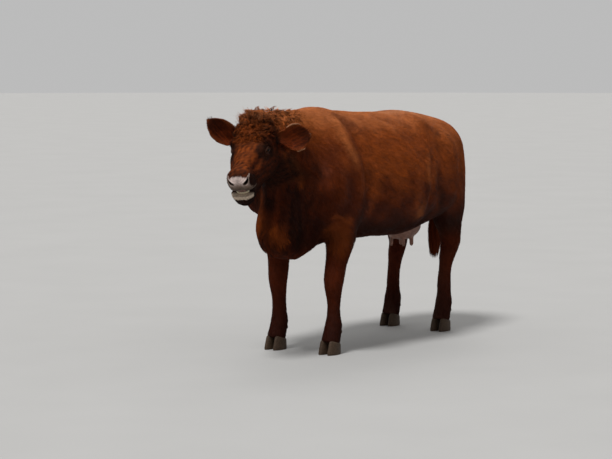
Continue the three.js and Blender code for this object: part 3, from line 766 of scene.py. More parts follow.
def ear_rim(at):
    """For places on an ear, 0 on its middle line, 1 at its rim and more past it."""
    half = np.interp(at[:, 0], (0.0, 0.05, 0.07, 0.09, 0.13, 0.15, 0.17, 0.19, 0.199),
                     (0.040, 0.048, 0.0525, 0.0575, 0.0565, 0.054, 0.043, 0.026, 0.012))
    return np.maximum(np.abs(at[:, 1] + 0.002) / half, ramp(at[:, 0], 0.180, 0.197))


def ear_edge(own):
    """0 in the middle of an ear, 1 at its rim."""
    return np.clip(ear_rim(ear_places(own)), 0.0, 1.0)


def bare_share(points):
    """1 on the bare skin of the nose and lips, 0 on hair."""
    own = to_head(points)
    x, y, z = own.T
    beside = np.abs(x)
    fray = 0.0015 * waves(points, 0.012, 13)
    front = ramp(y, -0.350, -0.366)
    nose = (ramp(z + 3.0 * x ** 2 + fray, -0.034, -0.040) * ramp(z, -0.136, -0.128) * front
            * ramp(beside + 0.25 * (z + 0.07) + fray, 0.061, 0.053))
    nostril = ramp(nostril_reach(own) + 60 * fray, 1.95, 1.70) * front
    upper = ramp(z, -0.114, -0.121) * ramp(z, -0.150, -0.136) * ramp(y, -0.345, -0.362)
    lower = (ramp(z + fray, -0.190, -0.182) * ramp(z, -0.147, -0.155)
             * ramp(y + 0.30 * np.abs(x + 0.012), -0.350, -0.364))
    return head_share(points) * np.maximum.reduce((nose, nostril, upper, lower))


# Painted highlights where light falls along the crests of the body, and painted shade in its
# hollows: a line over the left side, its half width, the tint laid along it and how strongly it
# shows. Red and the ears' rim colour are laid as highlights here too.
COAT_LIGHTS = (
    ([(x + 0.004, y - 0.034, z) for x, y, z in SHOULDER[:5]], 0.027, "sunlit", 0.62),
    ([(x, y + 0.058, z) for x, y, z in SHOULDER], 0.030, "deep", 0.42),
    (((0.05, 0.28, 1.34), (0.06, 0.60, 1.33), (0.07, 0.92, 1.30)), 0.065, "rim", 0.32),
    (((0.08, -0.23, 1.33), (0.169, -0.203, 1.274), (0.240, -0.200, 1.215)), 0.044, "deep", 0.60),
    (((0.064, 0.079, 1.322), (0.187, 0.085, 1.285), (0.284, 0.175, 1.211)), 0.016, "sunlit", 0.45),
    (((0.10, 0.44, 1.33), (0.235, 0.50, 1.255), (0.27, 0.53, 1.19)), 0.014, "sunlit", 0.40),
    (((0.24, 0.606, 1.241), (0.288, 0.753, 1.173), (0.31, 0.833, 1.052)), 0.018, "sunlit", 0.30),
    (((0.345, 0.405, 1.101), (0.387, 0.337, 0.991), (0.393, 0.328, 0.877)), 0.017, "sunlit", 0.40),
    (((0.390, 0.30, 0.880), (0.378, 0.25, 0.80), (0.342, 0.340, 0.740)), 0.034, "red", 0.75),
    (((0.372, 0.30, 0.82), (0.347, 0.323, 0.758), (0.325, 0.36, 0.70)), 0.034, "sunlit", 0.42),
    (((0.265, -0.42, 1.14), (0.293, -0.393, 1.065), (0.300, -0.385, 0.99)), 0.034, "red", 0.55),
    (((0.305, -0.19, 1.11), (0.318, -0.18, 1.01)), 0.045, "red", 0.45),
    (((0.16, -0.16, 1.29), (0.219, -0.158, 1.246), (0.27, -0.15, 1.17)), 0.032, "deep", 0.45),
    (((0.215, -0.40, 0.73), (0.206, -0.379, 0.649), (0.20, -0.37, 0.55)), 0.050, "red", 0.65),
    (((0.335, 0.45, 1.08), (0.380, 0.385, 0.96), (0.380, 0.375, 0.86)), 0.022, "deep", 0.45),
    (((0.36, 0.48, 0.97), (0.345, 0.550, 0.860), (0.322, 0.63, 0.76)), 0.042, "dark", 0.60),
    (((0.35, 0.50, 1.02), (0.365, 0.455, 0.90)), 0.008, "sunlit", 0.30),
    (((0.345, 0.555, 0.87), (0.325, 0.590, 0.775), (0.25, 0.72, 0.70)), 0.036, "dark", 0.60),
    (((0.340, 0.66, 0.84), (0.333, 0.71, 0.79), (0.30, 0.74, 0.72)), 0.060, "dark", 0.35),
    (((0.255, -0.478, 0.782), (0.289, -0.381, 0.761), (0.30, -0.31, 0.72)), 0.020, "red", 0.75),
    (((0.225, -0.440, 0.745), (0.243, -0.375, 0.680), (0.262, -0.36, 0.60), (0.27, -0.36, 0.50)),
     0.060, "red", 0.60),
    (((0.165, -0.60, 1.16), (0.182, -0.575, 1.108), (0.221, -0.541, 1.037), (0.23, -0.52, 0.93)),
     0.030, "dark", 0.70),
    (((0.12, -0.71, 1.12), (0.135, -0.675, 1.04), (0.125, -0.66, 0.96)), 0.034, "sunlit", 0.60),
)
# The same on the throat, where the neck bends to the left, over both sides and not mirrored:
# painted shade where the head's shadow falls and painted highlights down the lit side of the
# brisket.
THROAT_LIGHTS = (
    (((0.115, -0.65, 0.98), (0.125, -0.63, 0.865), (0.128, -0.62, 0.69), (0.10, -0.60, 0.62)),
     0.058, "dark", 1.0),
    (((-0.12, -0.70, 0.93), (-0.09, -0.70, 0.80), (-0.03, -0.68, 0.66)), 0.062, "red", 0.95),
    (((0.0, -0.76, 1.00), (0.0, -0.72, 0.90), (0.04, -0.70, 0.78)), 0.050, "dark", 0.85),
    (((0.030, -0.72, 0.74), (0.065, -0.696, 0.666), (0.06, -0.66, 0.62)), 0.045, "red", 0.70),
    (((0.135, -0.66, 1.03), (0.150, -0.622, 1.00), (0.155, -0.60, 0.93)), 0.016, "red", 0.80),
    (((0.065, -0.745, 1.31), (0.035, -0.705, 1.338), (-0.03, -0.69, 1.335)), 0.020, "deep", 0.60),
)

# And on both sides of the head, along its own axes: painted shade behind and in front of the eye,
# and a painted highlight down the back of the jaw.
FACE_LIGHTS = (
    (((0.106, -0.020, -0.040), (0.112, -0.072, -0.089), (0.116, -0.118, -0.120)), 0.014, "dark",
     0.92),
    (((0.138, -0.045, -0.125), (0.127, -0.064, -0.202), (0.142, -0.050, -0.280)), 0.017,
     "red", 0.85),
    (((0.060, -0.205, -0.012), (0.082, -0.220, -0.036)), 0.015, "dark", 0.70),
)


def layered(colours, coat, *layers):
    """Lays tints over colours one after another, each with its own share."""
    for tint, share in layers:
        over = getattr(coat, tint) if isinstance(tint, str) else tint
        colours = mixed(colours, over, share)
    return colours


def lined(colours, coat, points, lights, fade, strength=1.0):
    """Lays lines of painted highlight and painted shade over colours. They fade out towards their
    ends.
    """
    for line, width, tint, share in lights:
        gap, along = near_line(points, line)
        end = ramp(along, 0.0, 0.15) * ramp(along, 1.0, fade) * strength
        colours = mixed(colours, getattr(coat, tint), share * bump(gap, width) * end)
    return colours


def body_hair(points, normals, coat, rough):
    """Red on the flank, with painted sunlight along the back and rump, darker below and at the
    throat, partly the coat's own colour and partly painted shade, and painted highlights and shade
    along crests and hollows.
    """
    x, y, z = points.T
    legs = leg_share(points)
    neck = ramp(y, -0.50, -0.62) * (1.0 - head_share(points))
    colours = layered(
        np.tile(np.array(coat.red), (len(points), 1)), coat,
        # Painted sunlight on the top of the back, where the skin faces up.
        ("sunlit", 0.80 * ramp(z + 0.012 * rough, 1.17, 1.33) * ramp(normals[:, 2], 0.15, 0.80)),
        # Darker towards the belly, at the shoulder, on the lower neck and at the throat: partly
        # the coat's own colour, partly painted shade.
        ("deep", 0.95 * ramp(z + 0.04 * rough, 1.04, 0.76)),
        ("deep", 0.80 * ramp(y, -0.20, -0.34) * ramp(z, 1.27, 1.10)),
        ("dark", 0.80 * ramp(z + 0.02 * rough, 0.84, 0.66)),
        ("deep", legs),
        ("dark", 0.75 * legs * ramp(z, 0.42, 0.12)),
        ("deep", 0.7 * neck * ramp(z, 1.28, 1.10)),
        ("dark", 0.80 * neck * ramp(z, 1.08, 0.84) * ramp(np.abs(x), 0.05, 0.12)),
        # Painted sunlight on the buttock and the rump.
        ("sunlit", 0.35 * ramp(y, 0.90, 1.05) * ramp(z, 0.5, 0.8)),
        ("sunlit", 0.35 * ramp(y, 0.45, 0.75) * ramp(z, 1.02, 1.22)))
    blotch = 0.90 + 0.14 * rough
    # The painted highlights and shade of the lines are weaker on the right side, which faces away
    # from the light.
    weaker = 1.0 - 0.45 * ramp(x, 0.02, -0.02)
    colours = lined(colours, coat, mirrored(points), COAT_LIGHTS, 0.72, blotch * weaker)
    colours = lined(colours, coat, points, THROAT_LIGHTS, 0.72, blotch)
    # Streaks down the neck: partly the hair's own tone, partly painted light and shade between its
    # locks.
    strand = waves(points * (1.0, 1.0, 0.13), 0.034, 43)
    return colours * (1.0 + 0.36 * neck * np.clip(strand, -1, 1))[:, None]


def face_hair(points, own, facing, coat):
    """Red down the front of the face, dark round the eyes, under the jaw and beside the nose. The
    deeper sides and underside of the head are partly painted shade, the top of the poll painted
    sunlight.
    """
    mirror = mirrored(own)
    x, y, z = mirror.T
    # The sides of the face are deeper than its front: partly the hair's own colour, partly painted
    # shade where they turn from the light.
    front = ramp(facing[:, 2], 0.30, 0.85) * ramp(x, 0.105, 0.070)
    eye = np.linalg.norm((mirror - EYE_PLACE - (-0.006, -0.012, 0.006)) / (1.0, 1.3, 1.0), axis=1)
    hair = layered(
        mixed(np.array(coat.deep), coat.red, front), coat,
        # Painted shade where the head faces down.
        ("dark", 0.55 * ramp(facing[:, 2], -0.15, -0.7)),
        # Painted sunlight on the top of the poll.
        ("sunlit", 0.35 * ramp(y, -0.10, 0.03) * front),
        ("dark", 0.82 * ramp(eye, 0.062, 0.036)))
    hair = layered(
        lined(hair, coat, mirror, FACE_LIGHTS, 0.80), coat,
        ("dark", 0.50 * ramp(y + 0.15 * z, -0.366, -0.388)),
        ("dark", 0.60 * ramp(x, 0.045, 0.062) * ramp(y, -0.33, -0.36)),
        # Darker under the jaw: partly the hair's own colour, partly painted shade.
        ("dark", 0.80 * ramp(z, -0.13, -0.19)))
    mottle = waves(points, 0.026, 14)
    return hair * (0.68 + 0.20 * mottle - 0.12 * poll_share(points))[:, None]


def ear_hair(own, facing, coat):
    """Dark streaks in the hollow of each ear, and a pale rim that is stronger on the left one."""
    at = ear_places(own)
    out = at[:, 0]
    edge = ear_edge(own)
    left = own[:, 0] > 0
    toward = dots(facing, np.where(left[:, None], ear_frame(1.0)[1][2], ear_frame(-1.0)[1][2]))
    streak = 1.0 + 0.30 * np.clip(waves(at * (0.18, 1.0, 0.3), 0.011, 44), -1, 1)
    streak = streak * (1.30 - 0.80 * ramp(out, 0.060, 0.150))
    hollow = np.array(coat.deep) * (1.55 * streak)[:, None]
    pale = np.where(left, 0.40, 0.12) * ramp(edge, 0.960, 0.995) * ramp(toward, -0.1, 0.25)
    return layered(
        mixed(np.array(coat.red), coat.deep, np.full(len(own), 0.5)), coat,
        (hollow, ramp(toward, -0.1, 0.4) * ramp(edge, 0.90, 0.60)),
        ("rim", pale * ramp(ear_rim(at), 1.14, 1.08) * ramp(out, 0.055, 0.090)))


def nose_skin(own, face, fine):
    """Pale between the nostrils, dark in and round them and at the upper lip, a pale lower lip."""
    x, _, z = mirrored(own).T
    shade = np.array(face.nose_dark)
    return layered(
        np.array(face.nose), face,
        # Lighter at the top and darker down to the upper lip: partly the bare skin's own colour,
        # partly painted highlight on top and painted shade below.
        (shade, np.clip(ramp(z, -0.060, -0.098) * (0.90 + 0.10 * fine), 0, 1)),
        (shade * 0.50, 0.9 * ramp(z, -0.096, -0.112)),
        (shade, 0.7 * ramp(x, 0.040, 0.058)),
        (shade * 0.45, ramp(nostril_reach(own), 1.40, 1.05)),
        (face.lip, ramp(z, -0.148, -0.158)),
        # Painted shade at the corners of the upper lip, by the open mouth.
        (shade * 0.5, 0.85 * ramp(x, 0.030, 0.046) * ramp(z, -0.100, -0.112)
         * ramp(z, -0.142, -0.136)))


# Painted shade inside the nostrils and in the gap of the open mouth.
NOSTRIL_PAINTED_SHADE = (0.010, 0.006, 0.005)
MOUTH_PAINTED_SHADE = (0.020, 0.009, 0.007)


def hide_colour(points, normals, coat, face):
    """The colour of skin and coat at each place."""
    own = to_head(points)
    x, y, z = mirrored(own).T
    facing = normals @ HEAD_AXES
    rough = waves(points, 0.16, 11)
    fine = waves(points, 0.034, 12)
    head = head_share(points)
    colours = layered(
        body_hair(points, normals, coat, rough), coat,
        (face_hair(points, own, facing, coat), head),
        (ear_hair(own, facing, coat),
         ear_share(points) * ramp(ear_places(own)[:, 0], 0.0, 0.03)))
    # The ripples over the ribs lighten and darken the coat: partly painted light and shade of the
    # wavy hair.
    colours = colours * (1.0 + 0.06 * rough + 0.09 * fine + 0.27 * flank_ripple(points))[:, None]
    # Painted shade deep in the nostrils and in the open mouth's gap between the lips.
    inner = ramp(nostril_reach(own), 1.0, 0.72) * head * ramp(y, -0.33, -0.36)
    mouth_gap_shade = (head * ramp(np.abs(z + 0.144), 0.024, 0.017) * ramp(y, -0.388, -0.374)
              * ramp(x, 0.066, 0.054) * ramp(y, -0.28, -0.31))
    colours = layered(
        colours, coat,
        (nose_skin(own, face, fine), bare_share(points)),
        (NOSTRIL_PAINTED_SHADE, inner),
        (MOUTH_PAINTED_SHADE, mouth_gap_shade),
        (np.array(face.udder) * (1.0 + 0.12 * fine)[:, None], udder_share(points)))
    return np.clip(colours, 0.0006, 1.0)


def flank_ripple(points):
    """The fine level ripples in the coat over the ribs, from -1 to 1, and 0 elsewhere."""
    x, y, z = points.T
    spread = points * (0.0, 0.30, 1.0) + vectors(z=0.010 * waves(points, 0.09, 41))
    share = ramp(y, -0.32, -0.18) * ramp(y, 0.95, 0.70) * ramp(z, 0.70, 0.82)
    share = share * ramp(z, 1.30, 1.18) * ramp(np.abs(x), 0.12, 0.22)
    return share * np.clip(waves(spread, 0.020, 42, 9), -1.0, 1.0)


def udder_share(points):
    """1 on the udder and teats."""
    x, y, z = points.T
    reach = np.linalg.norm((points - middle("udder")) / (0.118, 0.150, 0.112), axis=1)
    below = ramp(z, 0.66, 0.63) * bump(x, 0.11) * ramp(y, 0.53, 0.56) * ramp(y, 0.86, 0.83)
    return np.maximum(ramp(reach, 1.12, 0.98), below) * ramp(z, 0.70, 0.66)


# ---- Materials --------------------------------------------------------------------------------

class Look:
    """A material, with short ways to add, join and shape its nodes."""

    def __init__(self, name, **values):
        self.material = bpy.data.materials.new(name)
        self.material.use_nodes = True
        self.tree = self.material.node_tree
        self.shader = self.tree.nodes["Principled BSDF"]
        for socket, value in values.items():
            self.shader.inputs[socket.replace("_", " ")].default_value = value

    def node(self, kind, inputs=None, **values):
        """A node with its settings, and its inputs set or linked by name or number."""
        node = self.tree.nodes.new("ShaderNode" + kind)
        for name, value in values.items():
            setattr(node, name, value)
        for name, value in (inputs or {}).items():
            if isinstance(value, bpy.types.NodeSocket):
                self.tree.links.new(value, node.inputs[name])
            else:
                node.inputs[name].default_value = value
        return node

    def feed(self, name, socket):
        """Joins a socket to an input of the shader."""
        self.tree.links.new(socket, self.shader.inputs[name])

    def stored(self, name, output="Vector"):
        """What a mesh stores under this name."""
        return self.node("Attribute", attribute_name=name).outputs[output]

    def place(self):
        """The place on the object."""
        return self.node("TexCoord").outputs["Object"]

    def flat(self, colour):
        """One colour all over."""
        node = self.node("RGB")
        node.outputs[0].default_value = (*colour, 1.0)
        return node.outputs[0]

    def range(self, value, low, high, **limits):
        """A value brought from its own limits to a range."""
        inputs = {name.replace("_", " "): limit for name, limit in limits.items()}
        inputs.update({"To Min": low, "To Max": high})
        return self.node("MapRange", {"Value": value, **inputs}).outputs["Result"]

    def noise(self, vector, scale, detail, low, high):
        """Noise brought to a range."""
        noise = self.node("TexNoise", {"Vector": vector, "Scale": scale, "Detail": detail})
        return self.range(noise.outputs["Fac"], low, high, From_Min=0.3, From_Max=0.7)

    def stretched(self, vector, factors):
        """A place multiplied part by part."""
        node = self.node("VectorMath", {0: vector, 1: factors}, operation="MULTIPLY")
        return node.outputs["Vector"]

    def times(self, colour, value):
        """A colour multiplied by a value."""
        node = self.node("VectorMath", {0: colour, "Scale": value}, operation="SCALE")
        return node.outputs["Vector"]

    def mixed_values(self, share, first, second):
        return self.node("Mix", {0: share, 2: first, 3: second}, data_type="FLOAT").outputs[0]

    def mixed_colours(self, share, first, second):
        return self.node("Mix", {0: share, 6: first, 7: second}, data_type="RGBA").outputs[2]

    def between(self, share, first, second):
        """A colour between two, by a share."""
        node = self.node("ValToRGB", {"Fac": share})
        for element, colour in zip(node.color_ramp.elements, (first, second)):
            element.color = (*colour, 1)
        return node.outputs["Color"]

    def bumpy(self, height, strength, distance):
        """Fine relief that stands so far out, in metres."""
        rise = self.node("Bump", {"Height": height, "Strength": strength, "Distance": distance})
        self.feed("Normal", rise.outputs["Normal"])
        return self.material


def hair_material():
    """Locks of hair: their own colour, streaked along their length."""
    look = Look("cow_hair", Roughness=0.65, Specular_IOR_Level=0.04)
    colour_of = look.stored("coat_colour", "Color")
    streak = look.stretched(look.stored("strand"), (2.6, 1.1, 31.0))
    tone = look.noise(streak, 1.7, 3.0, 0.84, 1.16)
    look.feed("Base Color", look.times(colour_of, tone))
    return look.bumpy(tone, 0.35, 0.0006)


def hide_material():
    """Skin under the coat, bare leather on the nose and lips."""
    look = Look("cow_hide", Specular_IOR_Level=0.12)
    colour_of = look.stored("hide_colour", "Color")
    bare = look.stored("bare", "Fac")
    place_on = look.place()
    hair = look.noise(place_on, 260.0, 5.0, 0.84, 1.10)
    speck = look.noise(place_on, 110.0, 6.0, 0.70, 1.30)
    look.feed("Base Color", look.times(colour_of, look.mixed_values(bare, hair, speck)))
    look.feed("Roughness", look.range(bare, 0.78, 0.42))
    cobble = look.node("TexVoronoi", {"Vector": place_on, "Scale": 290.0},
                       feature="DISTANCE_TO_EDGE")
    leather = look.range(cobble.outputs["Distance"], 0.0, 1.0, From_Max=0.22)
    return look.bumpy(look.mixed_values(bare, hair, leather), 0.55, 0.0011)


def wet_material(name, base, scale, roughness):
    """Wet skin of the mouth."""
    look = Look(name, Roughness=roughness, Subsurface_Weight=0.12, Subsurface_Scale=0.004,
                Coat_Weight=0.35, Coat_Roughness=0.2)
    tone = look.noise(look.place(), scale, 4.0, 0.75, 1.2)
    look.feed("Base Color", look.times(look.flat(base), tone))
    return look.bumpy(tone, 0.5, 0.0012)


def horn_material():
    """Hoof horn: dark, ringed by its growth and streaked down its length."""
    look = Look("hoof_horn_grown", Roughness=0.55, Specular_IOR_Level=0.16)
    place_on = look.place()
    band = look.noise(look.stretched(place_on, (0.25, 0.35, 1.0)), 260.0, 4.0, 0.0, 1.0)
    grain = look.noise(look.stretched(place_on, (1.0, 1.0, 0.10)), 420.0, 3.0, 0.0, 1.0)
    both = look.mixed_values(0.45, band, grain)
    look.feed("Base Color", look.between(both, (0.020, 0.012, 0.0075), (0.085, 0.052, 0.031)))
    return look.bumpy(both, 0.5, 0.0010)


def enamel_material():
    """Teeth: ivory, stained in streaks."""
    look = Look("tooth_enamel_worn", Roughness=0.28, Coat_Weight=0.4, Coat_Roughness=0.12,
                Subsurface_Weight=0.1, Subsurface_Scale=0.002)
    tone = look.noise(look.stretched(look.place(), (1.0, 1.0, 0.3)), 330.0, 4.0, 0.0, 1.0)
    look.feed("Base Color", look.between(tone, (0.42, 0.31, 0.17), (0.78, 0.71, 0.55)))
    return look.bumpy(tone, 0.3, 0.0005)


def eye_material(face):
    """A dark eye: wide pupil, brown iris and a paler rim with a little white at the corners."""
    look = Look("cow_eye", Roughness=0.05, IOR=1.25, Specular_IOR_Level=0.18)
    gaze = look.stored("gaze")

    def far(factors):
        vector = look.stretched(gaze, factors)
        return look.node("VectorMath", {0: vector}, operation="LENGTH").outputs["Value"]

    pupil, out = far((2.1, 3.7, 0.0)), far((1.0, 1.0, 0.0))
    iris = look.times(look.flat(face.iris), look.noise(gaze, 14.0, 5.0, 0.55, 1.5))
    # The pale rim, showing at the corners, is partly the white of the eye, partly a painted glint.
    rim = look.range(out, 0.0, 1.0, From_Min=0.80, From_Max=0.92)
    ball = look.mixed_colours(rim, iris, (0.130, 0.085, 0.070, 1))
    edge = look.range(pupil, 0.0, 1.0, From_Min=1.0, From_Max=1.12)
    look.feed("Base Color", look.mixed_colours(edge, (0.004, 0.004, 0.005, 1), ball))
    return look.bumpy(look.noise(gaze, 9.0, 2.0, 0.0, 1.0), 0.02, 0.0004)


# ---- Eyes and eyelids -------------------------------------------------------------------------

def eye_axes(side):
    """The eye's own axes in the world: towards the nose, up, and outwards along its gaze."""
    out = unit(head_way((0.86 * side, -0.48, 0.17)))
    nose = head_way((0.0, -1.0, -0.16))
    nose = unit(nose - (nose @ out) * out)
    up = np.cross(out, nose) * (-side)
    if up[2] < 0:
        up = -up
    return np.stack((nose, unit(up), out))


def eye_middle(side):
    """The middle of one eyeball."""
    return middle("eye_left" if side > 0 else "eye_right")


def make_eye(name, side, face):
    """An eyeball with a shallow clear bulge, its pole along the gaze."""
    eye = new_ball(f"eye_{name}_globe", 64, 40, EYE_RADIUS)
    ways = unit(places(eye.data))
    bulge = 0.0011 * np.sqrt(np.clip((ways[:, 2] - 0.80) / 0.20, 0.0, 1.0))
    store(eye.data, "gaze", ways)
    place(eye.data, (ways * (EYE_RADIUS + bulge)[:, None]) @ eye_axes(side) + eye_middle(side))
    if np.linalg.det(eye_axes(side)) < 0:
        eye.data.flip_normals()
    smooth(eye)
    dress(eye, eye_material(face))
    finish_piece(eye, "eyeball", f"eye_{name}")


LID_OPEN = (0.0188, 0.0110, 0.0085)  # half the opening's length, its height above and below
LID_REACH = (0.034, 0.026)           # where the lids run out into the face
LID_TILT = math.radians(-12.0)
LID_COLUMNS = 56
LID_SHARES = (0.0, 0.0, 0.03, 0.10, 0.20, 0.32, 0.45, 0.60, 0.75, 0.88, 1.0)
LID_FOLDS = ((0.0016, 0.14, 0.07), (-0.0014, 0.26, 0.06), (0.0015, 0.40, 0.08),
             (-0.0008, 0.56, 0.06))  # each fold's height, its share of the way out, its width
RAY_START = 0.10                     # how far out along the gaze the skin is looked for


def make_lids(side, tree):
    """Both eyelids of one eye as a closed ring that runs out under the skin of the face."""
    axes, centre = eye_axes(side), eye_middle(side)
    angle = np.linspace(0.0, 2 * math.pi, LID_COLUMNS, endpoint=False)
    across, up = np.cos(angle), np.sin(angle)
    long = LID_OPEN[0] * across
    high = np.where(up > 0, LID_OPEN[1], LID_OPEN[2]) * np.sign(up) * np.abs(up) ** 1.15
    opening = np.stack((long * math.cos(LID_TILT) - high * math.sin(LID_TILT),
                        long * math.sin(LID_TILT) + high * math.cos(LID_TILT)), axis=1)
    outer = np.stack((LID_REACH[0] * across, LID_REACH[1] * up), axis=1)
    rows = []
    for index, share in enumerate(LID_SHARES):
        flat = opening * (1 - share) + outer * share if index else opening * 1.05
        radius = (0.0192, 0.0211, 0.0226)[min(index, 2)]
        near = np.sqrt(np.clip(radius ** 2 - (flat ** 2).sum(axis=1), 1e-6, None))
        far = np.array([ray_height(tree, centre, axes, spot) for spot in flat])
        blend = ramp(share, 0.0, 0.80)
        folds = sum(height * bump(share - middle_share, width)
                    for height, middle_share, width in LID_FOLDS)
        wrinkle = 0.0004 * np.sin(angle * 17 + share * 40) * (0.1 < share < 0.7)
        height = near * (1 - blend) + far * blend
        height = height + folds * (0.6 + 0.6 * np.clip(up, -0.2, 1)) + wrinkle
        height = height - 0.0045 * ramp(share, 0.80, 1.0)
        rows.append(np.column_stack((flat, height)) @ axes + centre)
    points = np.concatenate(rows)
    faces = np.array(tube_faces(LID_COLUMNS, len(LID_SHARES)))[:, (0, 2, 1)]
    spans = points[faces[:, 1:]] - points[faces[:, :1]]
    if (np.cross(spans[:, 0], spans[:, 1]) @ axes[2]).sum() < 0:
        faces = faces[:, ::-1].copy()
    return mesh_of(f"lids_{side:.0f}", points, faces)


def ray_height(tree, centre, axes, spot):
    """How far out along the gaze the skin lies over a spot beside the eye."""
    start = centre + spot @ axes[:2] + axes[2] * RAY_START
    hit = tree.ray_cast(Vector(start), Vector(-axes[2]))
    return RAY_START - hit[3] if hit[0] is not None else 0.012


def sink_under_lids(hide, side):
    """Pulls the skin behind the eyelids and the eyeball, so that only the lids show there."""
    points = places(hide.data)
    axes, centre = eye_axes(side), eye_middle(side)
    rel = (points - centre) @ axes.T
    reach = np.linalg.norm(rel[:, :2] / LID_REACH, axis=1)
    inside = (reach < 0.93) & (np.abs(rel[:, 2]) < 0.05)
    sphere = np.sqrt(np.clip(EYE_RADIUS ** 2 - (rel[:, :2] ** 2).sum(axis=1), 0.0, None))
    level = np.minimum(rel[:, 2] - 0.0050 * ramp(reach, 0.95, 0.80), 1.0)
    level = np.where(reach < 0.70, np.minimum(level, np.maximum(sphere - 0.005, 0.003)), level)
    rel[inside, 2] = level[inside]
    place(hide.data, rel @ axes + centre)


def dress_hide(hide, coat, face):
    """Adds the eyelids to the skin, then its colours and material."""
    tree = BVHTree.FromObject(hide, bpy.context.evaluated_depsgraph_get())
    lids = [make_lids(side, tree) for _, side in SIDES]
    for _, side in SIDES:
        sink_under_lids(hide, side)
    only(hide, *lids)
    bpy.ops.object.join()
    mesh = hide.data
    points = places(mesh)
    colours = hide_colour(points, directions(mesh), coat, face)
    bare = bare_share(points)
    for _, side in SIDES:
        rel = (points - eye_middle(side)) @ eye_axes(side).T
        reach = np.linalg.norm(rel[:, :2] / (0.0215, 0.0160), axis=1)
        near = ramp(reach, 1.15, 0.92) * (np.abs(rel[:, 2]) < 0.04)
        colours = mixed(colours, face.lids, near)
        bare = np.maximum(bare, near)
    paint(mesh, "hide_colour", colours)
    store(mesh, "bare", np.maximum(bare, udder_share(points)))
    dress(hide, hide_material())
    smooth(hide)
    finish_piece(hide, "coat", *FLESH)


# ---- Mouth and hooves -------------------------------------------------------------------------

def squashed_ball(name, centre, radii, bend, material):
    """A flattened ball in the head's axes, bent by a function of its own places."""
    ball = new_ball(name, 40, 24)
    place(ball.data, from_head(bend(places(ball.data)) * radii + centre))
    smooth(ball)
    dress(ball, material)
    return ball


def ridged(ball):
    """Low ridges across the under side."""
    return ball + vectors(z=0.05 * np.cos(ball[:, 0] * 9) * (ball[:, 2] < 0))


def grooved(ball):
    """A groove down the top, and the tip turned down."""
    groove = -0.30 * bump(ball[:, 0], 0.22) * (ball[:, 2] > 0)
    return ball + vectors(z=groove - (0.25 * ball[:, 1] ** 2 + 0.1 * ball[:, 1]))


TEETH = 8
TOOTH_SIZE = (0.0060, 0.0036, 0.0108)  # half its width, thickness and height


def make_tooth(index, turn):
    """One spade-shaped tooth on the arc of the lower jaw."""
    tooth = new_ball("tooth", 20, 14)
    ball = places(tooth.data)
    crown = np.sign(ball) * np.abs(ball) ** 0.72
    wide, thick, high = TOOTH_SIZE
    shape = crown * (0, thick, high)
    shape[:, 0] = crown[:, 0] * wide * (0.72 + 0.28 * ramp(ball[:, 2], -0.8, 0.6))
    shape[:, 1] -= 0.0022 * ramp(ball[:, 2], -0.2, 1.0) - 0.0008 * (index % 2)
    place_at = (-0.011 + 0.034 * math.sin(turn), -0.384 + 0.022 * (1 - math.cos(turn)), -0.1635)
    spin = np.array(Matrix.Rotation(turn * 0.75, 3, "Z"))
    place(tooth.data, from_head(shape @ spin.T + place_at))
    return tooth


def make_mouth():
    """The hard pad above, the tongue, and the teeth of the lower jaw."""
    pad = squashed_ball("dental_pad_cushion", (0.0, -0.373, -0.126), (0.042, 0.022, 0.009),
                        ridged, wet_material("wet_gum", (0.28, 0.13, 0.10), 300.0, 0.35))
    finish_piece(pad, "tongue_skin", "dental_pad")
    tongue = squashed_ball("tongue_body", (-0.009, -0.347, -0.159), (0.037, 0.035, 0.013),
                           grooved, wet_material("wet_tongue", (0.42, 0.235, 0.19), 700.0, 0.40))
    finish_piece(tongue, "tongue_skin", "tongue")
    turns = np.radians(np.linspace(-66, 66, TEETH))
    only(*[make_tooth(index, turn) for index, turn in enumerate(turns)])
    bpy.ops.object.join()
    row = bpy.context.view_layer.objects.active
    row.name = row.data.name = "incisor_row"
    smooth(row)
    dress(row, enamel_material())
    finish_piece(row, "tooth_enamel", "incisors")


CLAW_COLUMNS, CLAW_ROWS = 36, 15
DEWCLAW_COLUMNS, DEWCLAW_ROWS = 20, 9
SOLE = 0.006  # the sole's rounded edge


def claw_shape(node, outward):
    """Rings of one claw from the ground up, in the space its solid has."""
    low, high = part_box(node)
    centre_x = (low[0] + high[0]) / 2
    wide, toe, heel = (high[0] - low[0]) / 2, low[1], high[1]
    top = high[2] + 0.003
    angle = np.linspace(0, 2 * math.pi, CLAW_COLUMNS, endpoint=False)
    along = -np.cos(angle)
    slim = 1.0 - 0.26 * np.clip(-along, 0, 1) ** 2.2
    side = np.sign(np.sin(angle)) * np.abs(np.sin(angle)) ** 0.80 * slim
    flat = np.where(side * outward < 0, 0.90, 1.0)
    rings = []
    for step in np.linspace(0.0, 1.0, CLAW_ROWS):
        front, back = toe + 0.024 * step ** 1.1, heel - 0.003 * step
        half, mid = (back - front) / 2, (back + front) / 2
        foot = 0.94 + 0.06 * min(step * 7, 1.0)
        ring = 0.012 * math.sin(step * 46) * min(step * 5, 1.0) * (1 - step)
        x = centre_x + wide * (1.0 - 0.10 * step) * side * flat * (foot + ring)
        y = mid + half * along * (foot + ring)
        height = SOLE + (top - SOLE) * (1.0 - 0.36 * (y - toe) / (heel - toe))
        rings.append(vectors(x, y, height * step))
    crown = rings[-1]
    for share, lift in ((0.80, 0.006), (0.45, 0.010)):
        inner = crown.mean(axis=0) + (crown - crown.mean(axis=0)) * share
        rings.append(inner + (0, 0, lift))
    return rings, rings[0].mean(axis=0) + (0, 0, 0.0015)


